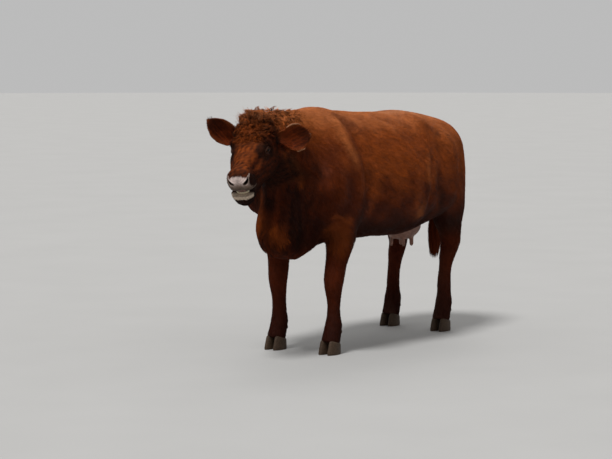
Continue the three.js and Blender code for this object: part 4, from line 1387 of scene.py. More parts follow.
def dewclaw_shape(node, _):
    """Rings of one dewclaw from its lower end up. It is the same on both sides."""
    low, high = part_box(node)
    angle = np.linspace(0, 2 * math.pi, DEWCLAW_COLUMNS, endpoint=False)
    centre, half = np.array((low + high) / 2), np.array((high - low) / 2)
    rings = []
    for step in np.linspace(0.08, 0.92, DEWCLAW_ROWS):
        width = math.sin(step * math.pi) ** 0.7 * (1.0 - 0.25 * step)
        level = -math.cos(step * math.pi)
        ring = vectors(np.cos(angle) * width, np.sin(angle) * width - 0.1 * (level + 1), level)
        rings.append(ring * half * (0.92, 0.92, 0.95) + centre)
    return rings, rings[0].mean(axis=0)


def capped_faces(columns, rows, first):
    """Triangles of a tube of rings, closed at both ends by the two points that follow it."""
    faces = tube_faces(columns, rows, first)
    bottom, last = first + rows * columns, first + (rows - 1) * columns
    for column in range(columns):
        following = (column + 1) % columns
        faces += [(bottom, first + following, first + column),
                  (bottom + 1, last + column, last + following)]
    return faces


def make_hoof(leg, end, side_name, side, material):
    """Both claws and both dewclaws of one foot."""
    points, faces, nodes = [], [], []
    for which, outward in (("inner", -side), ("outer", side)):
        for part, shape in (("claw", claw_shape), ("dewclaw", dewclaw_shape)):
            node = f"{leg}_{part}_{which}_{side_name}"
            rings, bottom = shape(node, outward)
            first = sum(len(group) for group in points)
            faces += capped_faces(len(rings[0]), len(rings), first)
            points += [*rings, np.array((bottom, rings[-1].mean(axis=0)))]
            nodes.append(node)
    hoof = mesh_of(f"hoof_{end}_{side_name}", np.concatenate(points), np.array(faces))
    edited(hoof, normals_make_consistent={"inside": False})
    bpy.ops.object.shade_smooth_by_angle(angle=math.radians(50))
    dress(hoof, material)
    finish_piece(hoof, "hoof_horn", *nodes)


def make_hooves():
    """The claws and dewclaws of the four feet, in one material."""
    material = horn_material()
    for leg, end in (("foreleg", "fore"), ("hindleg", "hind")):
        for side_name, side in SIDES:
            make_hoof(leg, end, side_name, side, material)


# ---- The coat ---------------------------------------------------------------------------------

SPARE_ROOTS = 1.25  # so many more roots are drawn, as those that fall too close are dropped
ROOT_CELL = 0.60    # the size of the cell that holds one root, as a share of their spacing


class Skin:
    """The finished skin as arrays, with a tree for finding the place nearest a point."""

    def __init__(self, hide):
        mesh = hide.data
        mesh.calc_loop_triangles()
        self.faces = read(mesh.loop_triangles, "vertices", 3, np.int32)
        self.points = places(mesh)
        self.normals = directions(mesh)
        spans = self.points[self.faces[:, 1:]] - self.points[self.faces[:, :1]]
        self.areas = np.linalg.norm(np.cross(spans[:, 0], spans[:, 1]), axis=1) / 2
        self.middles = self.points[self.faces].mean(axis=1)
        self.facing = unit(self.normals[self.faces].sum(axis=1))
        self.tree = BVHTree.FromPolygons(self.points.tolist(), self.faces.tolist())
        self.names = region(self.middles)

    def scattered(self, density, seed):
        """Roots on the skin, so many to a square metre of each face, none close to another."""
        rng = np.random.default_rng(seed)
        wanted = self.areas * density * SPARE_ROOTS
        number = np.floor(wanted + rng.random(len(wanted))).astype(int)
        chosen = np.repeat(np.arange(len(number)), number)
        share = rng.random((len(chosen), 2))
        share = np.where(share.sum(axis=1, keepdims=True) > 1, 1 - share, share)
        share = np.column_stack((1 - share.sum(axis=1), share))
        roots = np.einsum("ij,ijk->ik", share, self.points[self.faces[chosen]])
        normals = unit(np.einsum("ij,ijk->ik", share, self.normals[self.faces[chosen]]))
        order = rng.permutation(len(roots))
        cell = ROOT_CELL / math.sqrt(max(float(np.max(density)), 1.0))
        keys = np.floor(roots[order] / cell).astype(np.int64)
        _, first = np.unique(keys, axis=0, return_index=True)
        kept = order[np.sort(first)]
        return roots[kept], normals[kept]

    def nearest(self, points):
        """The skin's place nearest each point, and the way it faces there."""
        find = self.tree.find_nearest
        found = [find(point) for point in points.tolist()]
        both = np.array([(*hit[0], *hit[1]) for hit in found])
        return both[:, :3], both[:, 3:]


Kit = collections.namedtuple("Kit", "skin coat face material")


def combed(points, normals, wave):
    """The way the hair lies, along the skin."""
    x, y, _ = points.T
    outward = np.sign(x)
    top = ramp(normals[:, 2], 0.35, 0.95)
    way = vectors(0.35 * outward * top, 0.85, -0.60 * (1 - top))
    for aim, share in (
            ((0.0, 1.0, -0.1), ramp(normals[:, 2], -0.45, -0.85)),
            (vectors(0.15 * outward, 0.30, -1.0), ramp(y, 0.72, 1.02)),
            (vectors(0.25 * outward * top, 0.35, -0.95), ramp(y, -0.40, -0.58)),
            ((0.0, 0.10, -1.0), leg_share(points))):
        way = mixed(way, aim, share)
    own = to_head(points)
    facing = normals @ HEAD_AXES
    ears = ear_share(points)
    whorl = unit(own * (1, 1, 0) - (0.0, -0.11, 0.0) + 1e-6)[:, 0]
    cheek = ramp(own[:, 2], -0.045, -0.10) * ramp(np.abs(facing[:, 0]), 0.35, 0.80)
    jaw = ramp(facing[:, 2], -0.4, -0.8)
    on_left = np.sign(own[:, :1]) > 0
    face = vectors(0.8 * whorl, 1.0, 0.1)
    for aim, share in (
            (vectors(0.30 * whorl, -1.0, -0.05), ramp(own[:, 1], -0.085, -0.135)),
            ((0.0, 0.55, -0.85), cheek * ramp(own[:, 1], -0.34, -0.26)),
            ((0.0, 1.0, -0.1), jaw * ramp(own[:, 1], -0.40, -0.30)),
            (np.where(on_left, ear_frame(1.0)[1][0], ear_frame(-1.0)[1][0]), ears)):
        face = mixed(face, aim, share)
    way = mixed(way, face @ HEAD_AXES.T, np.maximum(head_share(points), ears))
    way = unit(way - dots(way, normals)[:, None] * normals)
    turn = wave * (0.7 * waves(points, 0.072, 21) + 0.5 * waves(points, 0.030, 22))
    return way * np.cos(turn)[:, None] + np.cross(normals, way) * np.sin(turn)[:, None]


ROOT_DEPTH = 0.0015  # how far the root of a lock lies in the skin


def laid(skin, roots, normals, ways, lengths, rise, sway, steps, rng):
    """Centre lines of locks that follow the skin from their roots, and the way it faces there."""
    across = np.cross(normals, ways)
    swing = (sway * rng.choice((-1.0, 1.0), len(roots)) * rng.uniform(0.5, 1.0, len(roots))
             * lengths)[:, None]
    half = roots + ways * (lengths * 0.5)[:, None] + across * swing
    end = roots + ways * lengths[:, None] - across * swing * 0.6
    half, half_facing = skin.nearest(half)
    end, end_facing = skin.nearest(end)
    share = np.linspace(0.0, 1.0, steps)
    weights = np.stack(((1 - share) * (1 - 2 * share), 4 * share * (1 - share),
                        share * (2 * share - 1)), axis=1)
    stops = np.stack((roots, half, end), axis=1)
    facing = np.stack((normals, half_facing, end_facing), axis=1)
    path = np.einsum("js,nsk->njk", weights, stops)
    faces = unit(np.einsum("js,nsk->njk", np.abs(weights), facing))
    lift = rise[:, None] * np.sin(share * math.pi * 0.62)[None, :] ** 0.8
    lift = lift - ROOT_DEPTH * (1 - share)[None, :] ** 6
    return path + faces * lift[:, :, None], faces


def curled(roots, normals, ways, lengths, radius, turns, lean, steps, rng):
    """Centre lines of ringlets: each winds round a line that leans away from its root."""
    count = len(roots)
    share = np.linspace(0.0, 1.0, steps)[None, :, None]
    across = np.cross(normals, ways)[:, None, :]
    axis = unit(ways * lean[:, None] + normals * (1 - lean)[:, None])[:, None, :]
    upward = np.cross(across, axis)
    start = rng.uniform(0, 2 * math.pi, count)[:, None, None]
    spin = start + rng.choice((-1.0, 1.0), count)[:, None, None] * 2 * math.pi * (
        turns[:, None, None] * share)
    wide = radius[:, None, None] * np.sqrt(share) * (1 - 0.35 * share)
    path = (roots[:, None, :] + axis * (lengths[:, None, None] * share)
            + across * wide * np.cos(spin) + upward * wide * np.sin(spin))
    path[:, 0] = roots - normals * ROOT_DEPTH
    return path


def lock_faces(inner):
    """Triangles of one lock: a root, so many rings of three points, and a tip."""
    faces = [(0, 2, 1), (0, 3, 2), (0, 1, 3)]
    for ring in range(inner - 1):
        a = 1 + ring * 3
        for one, two in ((0, 1), (1, 2), (2, 0)):
            faces += [(a + one, a + two, a + 3 + one), (a + two, a + 3 + two, a + 3 + one)]
    a, tip = 1 + (inner - 1) * 3, 1 + inner * 3
    return np.array(faces + [(tip, a, a + 1), (tip, a + 1, a + 2), (tip, a + 2, a)])


def root_to_tip(ends, rings):
    """Values at the root and tip of each lock, with those of its rings between."""
    return np.concatenate((ends[:, :1], rings, ends[:, -1:]), axis=1)


RIDGE = 0.8           # how high a lock's ridge stands, as a share of its half width
CHART_REACH = 0.0015  # half the width of one lock's place in the unit square


def locks(name, paths, facing, widths, colours, chart, seeds, material, slot="coat",
          softness=0.5):
    """A mesh of closed tapering locks, one along each centre line."""
    count, steps = paths.shape[:2]
    inner = steps - 2
    tangent = unit(np.gradient(paths, axis=1))
    side = unit(np.cross(tangent, facing))
    top = unit(np.cross(side, tangent))
    share = np.linspace(0.0, 1.0, steps)
    profile = (np.sin(np.clip(share * 1.25, 0, 1) * math.pi / 2) ** 0.7
               * np.clip(1.08 - share, 0, 1) ** 0.45)
    half = (widths[:, None] * profile[None, :] / 2)[..., None]
    rings = np.stack((paths - side * half, paths + side * half, paths + top * half * RIDGE),
                     axis=2)[:, 1:-1]
    points = root_to_tip(paths, rings.reshape(count, inner * 3, 3))
    each = inner * 3 + 2
    faces = lock_faces(inner)
    every = (faces[None] + (np.arange(count) * each)[:, None, None]).reshape(-1, 3)
    spans = points[0][faces] - points[0].mean(axis=0)
    if dots(spans[:, 0], np.cross(spans[:, 1], spans[:, 2])).sum() < 0:
        every = every[:, ::-1]
    obj = mesh_of(name, points.reshape(-1, 3), every)
    mesh = obj.data
    along = np.concatenate(([0.0], np.repeat(share[1:-1], 3), [1.0]))
    beside = np.concatenate(([0.0], np.tile((-1.0, 1.0, 0.0), inner), [0.0]))
    reach = along[None, :, None]
    shade = colours[0][:, None] * (1 - reach) + colours[1][:, None] * reach
    paint(mesh, "coat_colour", shade.reshape(-1, 3))
    strand = np.stack((np.tile(beside, (count, 1)), np.tile(along, (count, 1)),
                       np.repeat(seeds[:, None], each, axis=1)), axis=2)
    store(mesh, "strand", strand.reshape(-1, 3))
    flat = chart[:, None, :] + np.stack((beside, along * 2 - 1), axis=1)[None] * CHART_REACH
    flat = np.clip(flat, 0.0, 1.0).reshape(-1, 2)
    layer = mesh.uv_layers.new(name="OFBake")
    layer.data.foreach_set("uv", flat[every.ravel()].astype(np.float32).ravel())
    across = np.stack((-side[:, 1:-1], side[:, 1:-1], top[:, 1:-1]), axis=2)
    across = root_to_tip(0 * side, across.reshape(count, inner * 3, 3))
    skin_way = root_to_tip(facing, np.repeat(facing[:, 1:-1], 3, axis=1))
    soft = unit(skin_way * softness + across * (1 - softness))
    mesh.normals_split_custom_set_from_vertices(soft.reshape(-1, 3).astype(np.float32))
    dress(obj, material)
    finish_piece(obj, slot)
    return obj


def unwrapped(points, around, centre, along):
    """Round-and-along places in the unit square: an unwrap of the skin about a line."""
    first, second = around
    angle = np.arctan2(points[:, first] - centre[0], points[:, second] - centre[1])
    flat = np.column_stack(((angle + math.pi) / (2 * math.pi), points[:, along]))
    low, high = flat.min(axis=0), flat.max(axis=0)
    return 0.004 + 0.992 * (flat - low) / np.maximum(high - low, 1e-6)


def region(points):
    """Which part of the coat each place belongs to."""
    x, y, z = points.T
    head = head_share(points) > 0.5
    ear = ear_share(points) > 0.5
    tail = (y > 1.012) & (np.abs(x) < 0.07) & ((z < 1.16) | (y > 1.04))
    leg = (z < LEG_TOP) & ~tail
    bare = (udder_share(points) > 0.4) | (bare_share(points) > 0.35) | (z < CORONET)
    names = np.full(len(points), "trunk", dtype="U8")
    for name, chosen in (("neck", (y < NECK_START) & ~leg & ~head & ~ear), ("leg", leg),
                         ("tail", tail), ("head", head), ("ear", ear), ("bare", bare)):
        names[chosen] = name
    return names


def poll_share(points):
    """1 where the curls of the forehead and poll grow."""
    x, y, z = to_head(points).T
    return (head_share(points) * ramp(np.abs(x), 0.115, 0.085) * ramp(y, -0.175, -0.125)
            * ramp(z, -0.055, -0.02))


def crest_share(points):
    """1 on the top of the neck behind the poll, where the hair is long and wavy."""
    x, y, z = points.T
    return (ramp(z, 1.245, 1.285) * ramp(y, -0.46, -0.56) * ramp(np.abs(x - 0.01), 0.100, 0.070)
            * ramp(to_head(points)[:, 1], -0.03, 0.03) * (1.0 - ear_share(points)))


def eye_clear(points):
    """0 on the eyelids' bare rims, 1 away from the eyes."""
    own = mirrored(to_head(points))
    return ramp(np.linalg.norm(own - EYE_PLACE, axis=1), 0.026, 0.031)


def root_colours(kit, points, normals, rng, bleach, spread=0.11):
    """The colour at each root and at each tip, every lock a little different."""
    base = hide_colour(points, normals, kit.coat, kit.face)
    tone = np.exp(rng.normal(0.0, spread, len(points)))[:, None]
    warm = 1.0 + rng.normal(0.0, 0.03, (len(points), 1)) * (0.3, -0.3, -0.5)
    base = base * tone * warm
    tips = mixed(base * 1.10, kit.coat.rim, bleach)
    return np.clip(base * 0.86, 0.0004, 1), np.clip(tips, 0.0004, 1)


def barrel_chart(points):
    """Round the barrel and along it."""
    return unwrapped(points, (0, 2), (0.0, 0.93), 1)


def neck_chart(points):
    """Round the neck and down it."""
    return unwrapped(points, (0, 1), (0.0, -0.60), 2)


def face_chart(points):
    """Round the head and along it."""
    return unwrapped(to_head(points), (0, 2), (0.0, -0.10), 1)


def ear_chart(points):
    """The two faces of an ear laid side by side."""
    at = ear_places(to_head(points))
    front = at[:, 2] > np.median(at[:, 2])
    flat = np.column_stack((at[:, 0] / 0.24, (at[:, 1] / 0.17 + 0.5) * 0.5 + 0.5 * front))
    return np.clip(flat, 0.004, 0.996)


def grow(kit, name, chosen, *, density, seed, chart, length, width, rise, wave, sway, steps=3,
         bleach=0.0, spread=0.11, slot="coat"):
    """Short hair over the chosen faces, lying along the skin."""
    rng = np.random.default_rng(seed)
    roots, normals = kit.skin.scattered(np.where(chosen, density, 0.0), seed)
    ways = combed(roots, normals, wave)
    size = length(roots) * rng.uniform(0.70, 1.25, len(roots))
    lift = rise(roots) * rng.uniform(0.30, 1.0, len(roots))
    paths, facing = laid(kit.skin, roots, normals, ways, size, lift, sway, steps, rng)
    wide = width * rng.uniform(0.6, 1.25, len(roots)) * np.clip(size / length(roots), 0.7, 1.2)
    pale = np.clip(bleach * rng.random(len(roots)) ** 2, 0, 1)
    colours = root_colours(kit, roots, normals, rng, pale, spread)
    locks(name, paths, facing, wide, colours, chart(roots), rng.random(len(roots)),
          kit.material, slot, softness=0.78)


def make_barrel_coat(kit):
    """The barrel's coat in four pieces, longer towards the belly."""
    x, y, _ = kit.skin.middles.T
    trunk = kit.skin.names == "trunk"
    for side_name, side in SIDES:
        for end, there in (("front", y < BARREL_PARTING), ("rear", y >= BARREL_PARTING)):
            grow(kit, f"coat_barrel_{end}_{side_name}", trunk & (x * side >= 0) & there,
                 density=27800, seed=31 + (end == "rear") + 2 * (side > 0), chart=barrel_chart,
                 length=lambda p: kit.coat.flank_length * (1 - 0.30 * ramp(p[:, 2], 1.15, 1.3)
                                                           + 0.8 * ramp(p[:, 2], 0.72, 0.60)),
                 width=0.0026, rise=lambda p: 0.0032 + 0.0022 * flank_ripple(p)
                 + 0.003 * ramp(p[:, 2], 0.75, 0.62), wave=0.22, sway=0.08, bleach=0.05)


def make_neck_coat(kit):
    """The neck's and the brisket's coat, longest under the brisket."""
    for side_name, side in SIDES:
        grow(kit, f"coat_neck_{side_name}",
             (kit.skin.names == "neck") & (kit.skin.middles[:, 0] * side >= 0),
             density=30000, seed=51 + (side > 0), chart=neck_chart,
             length=lambda p: kit.coat.neck_length * (1 + 0.8 * ramp(p[:, 2], 0.78, 0.62)
                                                      - 0.2 * ramp(p[:, 2], 1.1, 1.3)),
             width=0.0029, rise=lambda p: 0.0046 + 0.005 * ramp(p[:, 2], 0.78, 0.62),
             wave=0.30, sway=0.11, steps=4, bleach=0.05)


def make_leg_coat(kit):
    """The coat of the four legs down to the claws."""
    x, y, _ = kit.skin.middles.T
    for leg, end, there in (("foreleg", "fore", y < LEG_PARTING),
                            ("hindleg", "hind", y >= LEG_PARTING)):
        for side_name, side in SIDES:
            centre = middle(f"{leg}_lower_{side_name}")[:2]
            grow(kit, f"coat_leg_{end}_{side_name}",
                 (kit.skin.names == "leg") & (x * side >= 0) & there,
                 density=34000, seed=61 + (end == "hind") + 2 * (side > 0),
                 chart=lambda p, centre=centre: unwrapped(p, (0, 1), centre, 2),
                 length=lambda p: kit.coat.leg_length * (1 + 0.4 * ramp(p[:, 2], 0.45, 0.60)),
                 width=0.0027, rise=lambda p: 0.0024 + 0.002 * ramp(p[:, 2], 0.4, 0.6),
                 wave=0.14, sway=0.07, slot="dark_coat")


def make_tail_coat(kit):
    """The short hair of the tail above its switch."""
    grow(kit, "coat_tail", kit.skin.names == "tail", density=34000, seed=71,
         chart=lambda p: unwrapped(p, (0, 1), (0.0, 1.075), 2), length=lambda p: 0.026,
         width=0.0032, rise=lambda p: 0.005, wave=0.12, sway=0.08)


def make_switch(kit):
    """The brush of long hair at the end of the tail."""
    low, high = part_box("tail_switch")
    tall = high[2] - low[2]
    rng = np.random.default_rng(81)
    count, steps = 1500, 7
    start = rng.random(count)
    angle = rng.uniform(0, 2 * math.pi, count)
    core = np.sqrt(rng.random(count)) * 0.014
    drop = kit.coat.switch_length * rng.uniform(0.55, 1.0, count)
    z_root = high[2] + 0.050 - start ** 0.8 * tall * 0.62
    share = np.linspace(0, 1, steps)[None, :]
    drop = np.minimum(drop, (z_root - low[2]) * rng.uniform(0.80, 1.0, count))
    z = z_root[:, None] - drop[:, None] * share
    down = (high[2] - z) / tall
    body = 0.010 + 0.022 * np.sin(np.clip(down, 0, 1) * math.pi) ** 0.8 * (1 - 0.45 * down)
    out = core[:, None] + body * (rng.random(count) ** 0.6)[:, None] * np.clip(share * 3, 0, 1)
    turn = angle[:, None] + 0.5 * share * rng.normal(0, 1, count)[:, None]
    out = out + 0.0022 * np.sin(share * 13 + angle[:, None])
    paths = np.stack(((low[0] + high[0]) / 2 + out * np.cos(turn),
                      TAIL_LINE - 0.008 * np.clip(down, 0, 1) + out * np.sin(turn), z), axis=2)
    outward = np.stack((np.cos(turn), np.sin(turn), 0 * turn), axis=2)
    base = np.array(kit.coat.deep) * np.exp(rng.normal(0, 0.2, (count, 1)))
    tips = mixed(base * 1.3, kit.coat.red, 0.4 * rng.random(count))
    chart = np.column_stack((angle / (2 * math.pi), start)) * 0.98 + 0.01
    brush = locks("tail_switch_hair", paths, outward, np.full(count, 0.0044), (base * 0.8, tips),
                  chart, rng.random(count), kit.material)
    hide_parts("tail_switch")


def make_face_coat(kit):
    """The short hair of the head, shorter towards the nose and longer under the jaw."""
    clear = (kit.skin.names == "head") & (eye_clear(kit.skin.middles) > 0.5)
    across = to_head(kit.skin.middles)[:, 0]

    def length(p):
        y, z = to_head(p).T[1:]
        shorter = 1 - 0.45 * ramp(y, -0.26, -0.36)
        return kit.coat.face_length * shorter * (1 + 0.7 * ramp(z, -0.12, -0.20))

    for side_name, side in SIDES:
        grow(kit, f"coat_face_{side_name}", clear & (across * side >= 0), density=88000,
             seed=91 + (side > 0), chart=face_chart, length=length, width=0.0022,
             rise=lambda p: 0.0024 + 0.003 * poll_share(p), wave=0.22, sway=0.07, bleach=0.10)


def tousled(skin, share, density, clumps, seed, length, radius, steps, rng, flat=0.0):
    """Roots and paths of locks that curl together in clumps over the chosen faces."""
    roots, normals = skin.scattered(np.where(share > 0.12, density * np.sqrt(share), 0.0), seed)
    centres, centre_normals = skin.scattered(np.where(share > 0.10, clumps, 0.0), seed + 1)
    nearest = np.linalg.norm(roots[:, None] - centres[None], axis=2).argmin(axis=1)
    count = len(centres)
    core = curled(centres, centre_normals, combed(centres, centre_normals, 1.2),
                  length(centres) * rng.uniform(0.7, 1.2, count),
                  radius(centres) * rng.uniform(0.6, 1.4, count), rng.uniform(0.6, 1.4, count),
                  rng.uniform(0.50, 0.80, count) + flat, steps, rng)
    grow_out = core[nearest] - core[nearest][:, :1]
    shares = np.linspace(0.0, 1.0, steps)[None, :, None]
    reach = rng.uniform(0.70, 1.10, (len(roots), 1, 1))
    spread = (roots - core[nearest][:, 0])[:, None] * (1.0 - 0.62 * shares ** 0.8)
    frizz = 0.0016 * rng.normal(0, 1, (len(roots), 1, 3)) * np.sin(
        shares * rng.uniform(3, 8, (len(roots), 1, 1)))
    paths = core[nearest][:, :1] + spread + grow_out * reach + frizz
    paths[:, 0] = roots - normals * ROOT_DEPTH
    facing = unit(np.repeat(normals[:, None], steps, axis=1) + 0.6 * unit(spread + 1e-9))
    tone = np.exp(rng.normal(0.0, 0.22, count))[nearest][:, None]
    return roots, normals, paths, facing, tone


def make_curls(kit):
    """Tousled curls of the forehead and poll in clumps."""
    rng = np.random.default_rng(101)

    def high(p):
        return ramp(to_head(p)[:, 1], -0.16, 0.0)

    roots, normals, paths, facing, tone = tousled(
        kit.skin, poll_share(kit.skin.middles), 76000, 5200.0, 101,
        lambda p: kit.coat.curl_length * (0.42 + 0.55 * high(p)),
        lambda p: 0.0030 + 0.0060 * high(p), 9, rng)
    pale = 0.20 * rng.random(len(roots)) ** 2 * high(roots)
    dark, light = root_colours(kit, roots, normals, rng, pale, 0.14)
    chart = face_chart(roots)
    # Roots darkened deep in the clumps: painted shade between the curls.
    locks("coat_poll_curls", paths, facing, 0.0034 * rng.uniform(0.6, 1.2, len(roots)),
          (dark * 0.36 * tone, light * 0.95 * tone), chart, rng.random(len(roots)),
          kit.material)
    own = to_head(roots)
    top = (own[:, 1] > -0.05) & (np.abs(own[:, 0]) < 0.075) & (rng.random(len(roots)) < 0.30)
    make_wisps(kit, roots[top], normals[top], paths[top], chart[top], rng)


def make_wisps(kit, roots, normals, curls, chart, rng):
    """Loose pale wisps that stand out of the curls at the top of the poll."""
    count, steps = len(roots), 7
    ways = unit(curls[:, -1] - curls[:, 0] + normals * 0.02)
    size = kit.coat.curl_length * rng.uniform(0.45, 0.90, (count, 1, 1))
    shares = np.linspace(0.0, 1.0, steps)[None, :, None]
    wander = rng.normal(0, 0.40, (count, 1, 3)) * shares ** 1.6
    wander = wander + rng.normal(0, 0.12, (count, 1, 3)) * np.sin(shares * 5)
    paths = roots[:, None] + size * (ways[:, None] * shares + wander
                                     + normals[:, None] * 0.20 * shares)
    facing = np.repeat(normals[:, None], steps, axis=1)
    colours = root_colours(kit, roots, normals, rng,
                           np.clip(0.10 + 0.5 * rng.random(count), 0, 1), 0.12)
    locks("coat_poll_wisps", paths, facing, np.full(count, 0.0016), colours, chart,
          rng.random(count), kit.material)


def make_crest(kit):
    """Long wavy hair along the top of the neck."""
    rng = np.random.default_rng(121)
    roots, normals, paths, facing, tone = tousled(
        kit.skin, crest_share(kit.skin.middles), 12000, 2000.0, 121,
        lambda p: 0.012 + 0.037 * crest_share(p), lambda p: 0.0060, 7, rng, 0.10)
    dark, light = root_colours(kit, roots, normals, rng, 0.10 * rng.random(len(roots)), 0.14)
    # Roots darkened deep in the clumps: painted shade between the locks.
    locks("coat_neck_crest", paths, facing, 0.0048 * rng.uniform(0.6, 1.2, len(roots)),
          (dark * 0.40 * tone, light * tone), neck_chart(roots), rng.random(len(roots)),
          kit.material)


EAR_RIM = 0.92                        # the fringe grows on an ear past this share of its width
RIM_PALE = {1.0: 0.95, -1.0: 0.30}    # how far each ear's fringe may be bleached at the tips
RIM_EDGED = {1.0: 0.85, -1.0: 0.15}   # and over its whole length


def make_ear_coat(kit):
    """Short hair on the backs of the ears, long hair in their hollows and a pale fringe."""
    own = to_head(kit.skin.middles)
    edge = ear_edge(own)
    for side_name, side in SIDES:
        on_ear = (kit.skin.names == "ear") & (own[:, 0] * side > 0)
        hollow = (kit.skin.facing @ HEAD_AXES) @ ear_frame(side)[1][2] > 0.15
        rim = (edge > EAR_RIM) & (ear_places(own)[:, 0] > 0.045)
        grow(kit, f"coat_ear_back_{side_name}", on_ear & ~hollow, density=62000,
             seed=111 + (side > 0), chart=ear_chart, length=lambda p: 0.014, width=0.0024,
             rise=lambda p: 0.0026, wave=0.2, sway=0.08, spread=0.30)
        density = np.where(on_ear & hollow, 30000.0, 0.0) + np.where(on_ear & rim, 170000.0, 0.0)
        make_ear_fringe(kit, side_name, side, density)


def make_ear_fringe(kit, side_name, side, density):
    """The long hair of one ear's hollow and the short hair along its rim."""
    rng = np.random.default_rng(115 + (side > 0))
    roots, normals = kit.skin.scattered(density, 117 + (side > 0))
    count, steps = len(roots), 5
    at = ear_places(to_head(roots))
    edge = ear_edge(to_head(roots))
    rim = edge > EAR_RIM
    axes = ear_frame(side)[1]
    way = unit(vectors(1.0, at[:, 1] / 0.20)) @ axes
    inner_way = unit(vectors(0.95, 0.5 * at[:, 1] / 0.06 + 0.25)) @ axes
    way = unit(np.where(rim[:, None], way, inner_way)) @ HEAD_AXES.T
    way = unit(way - 0.8 * dots(way, normals)[:, None] * normals)
    size = np.where(rim, 0.0095, 0.028 - 0.018 * ramp(edge, 0.45, 0.80))
    size = size * rng.uniform(0.6, 1.2, count)
    shares = np.linspace(0, 1, steps)[None, :, None]
    lean = np.where(rim, 0.02, 0.20)[:, None] * normals
    across = np.cross(normals, way)
    sway = rng.normal(0, 0.12, (count, 1)) * across
    paths = roots[:, None] + (way + lean + sway)[:, None] * (size[:, None, None] * shares)
    paths = paths + (across * (0.0012 * rng.normal(0, 1, (count, 1))))[:, None] * np.sin(
        shares * 7)
    paths[:, 0] -= normals * 0.001
    pale = rim & (at[:, 0] > 0.06)
    bleach = np.where(pale, RIM_PALE[side], 0.06) * rng.random(count) ** 0.5
    colours = [mixed(part, kit.coat.rim, np.where(pale, RIM_EDGED[side], 0.0))
               for part in root_colours(kit, roots, normals, rng, bleach, 0.28)]
    locks(f"coat_ear_fringe_{side_name}", paths, np.repeat(normals[:, None], steps, axis=1),
          np.where(rim, 0.0024, 0.0020), colours, ear_chart(roots), rng.random(count),
          kit.material)


# ---- Stage ------------------------------------------------------------------------------------

# Each light's name, the ways round and up that it stands, its softness in degrees, and its
# strength as a share of the main light's.
LIGHTS = (("key", 4.0, 62.0, 14.0, 1.0), ("back", 215.0, 50.0, 30.0, 0.22))


def linked(name, data):
    """A new object of the scene that holds this light or camera."""
    obj = bpy.data.objects.new(name, data)
    bpy.context.scene.collection.objects.link(obj)
    return obj


def make_stage(settings):
    """The floor, even light from all round, two suns and the camera."""
    scene = bpy.context.scene
    bpy.ops.object.select_all(action="DESELECT")
    bpy.ops.mesh.primitive_circle_add(vertices=96, radius=60.0, fill_type="NGON")
    floor = bpy.context.view_layer.objects.active
    floor.name = floor.data.name = "studio_floor"
    look = Look("studio_floor", Roughness=0.9, Specular_IOR_Level=0.1)
    tone = look.noise(look.place(), 1.5, 2.0, 0.985, 1.015)
    look.feed("Base Color", look.times(look.flat(settings.floor), tone))
    dress(floor, look.material)
    scene.world = bpy.data.worlds.new("studio")
    scene.world.use_nodes = True
    background = scene.world.node_tree.nodes["Background"]
    background.inputs["Color"].default_value = (1.0, 1.0, 1.0, 1)
    background.inputs["Strength"].default_value = settings.sky
    scene.view_settings.view_transform = "Standard"
    for name, azimuth, elevation, softness, share in LIGHTS:
        light = bpy.data.lights.new(name, "SUN")
        light.angle, light.energy = math.radians(softness), settings.key * share
        stand(linked(name, light), (0.0, 0.0, 0.8), azimuth, elevation, 6.0)
    camera = bpy.data.cameras.new("camera")
    camera.sensor_width = 36.0
    camera.angle = settings.field
    camera.clip_end = 200.0
    scene.camera = linked("camera", camera)
    stand(scene.camera, settings.target, math.degrees(settings.azimuth),
          math.degrees(settings.elevation), settings.distance)


def stand(obj, target, azimuth, elevation, distance):
    """Puts a light or camera round the cow, turned to its target."""
    around, above = math.radians(azimuth), math.radians(elevation)
    way = Vector((math.sin(around) * math.cos(above), -math.cos(around) * math.cos(above),
                  math.sin(above)))
    obj.location = Vector(target) + way * distance
    obj.rotation_euler = (-way).to_track_quat("-Z", "Y").to_euler()


# ---- The add-on -------------------------------------------------------------------------------

@functools.cache
def finished_skin():
    """The skin as arrays, read once for all the parts of the coat."""
    hide = bpy.data.objects.get("hide")
    if hide is None:
        raise RuntimeError("the skin has to be made before its coat")
    return Skin(hide)


def grow_part(context, maker):
    """Grows one part of the coat with the panel's settings."""
    scene = context.scene
    material = bpy.data.materials.get("cow_hair") or hair_material()
    maker(Kit(finished_skin(), scene.cow_coat, scene.cow_face, material))
    return {"FINISHED"}


class COW_OT_stage(bpy.types.Operator):
    """Sets up the floor, the lights and the camera"""

    bl_idname = "cow.stage"
    bl_label = "Stage"

    def execute(self, context):
        make_stage(context.scene.cow_stage)
        return {"FINISHED"}


class COW_OT_hide(bpy.types.Operator):
    """Joins the flesh into one skin and adds its muscles, folds, eyelids and colours"""

    bl_idname = "cow.hide"
    bl_label = "Skin and Eyelids"

    def execute(self, context):
        scene = context.scene
        dress_hide(make_hide(scene.cow_skin), scene.cow_coat, scene.cow_face)
        finished_skin.cache_clear()
        return {"FINISHED"}


class COW_OT_eyes(bpy.types.Operator):
    """Puts both eyes in their lids"""

    bl_idname = "cow.eyes"
    bl_label = "Eyes"

    def execute(self, context):
        for name, side in SIDES:
            make_eye(name, side, context.scene.cow_face)
        return {"FINISHED"}


class COW_OT_mouth(bpy.types.Operator):
    """Makes the dental pad, tongue and teeth"""

    bl_idname = "cow.mouth"
    bl_label = "Mouth"

    def execute(self, context):
        make_mouth()
        return {"FINISHED"}


class COW_OT_hooves(bpy.types.Operator):
    """Makes the claws and dewclaws of the four feet"""

    bl_idname = "cow.hooves"
    bl_label = "Hooves"

    def execute(self, context):
        make_hooves()
        return {"FINISHED"}


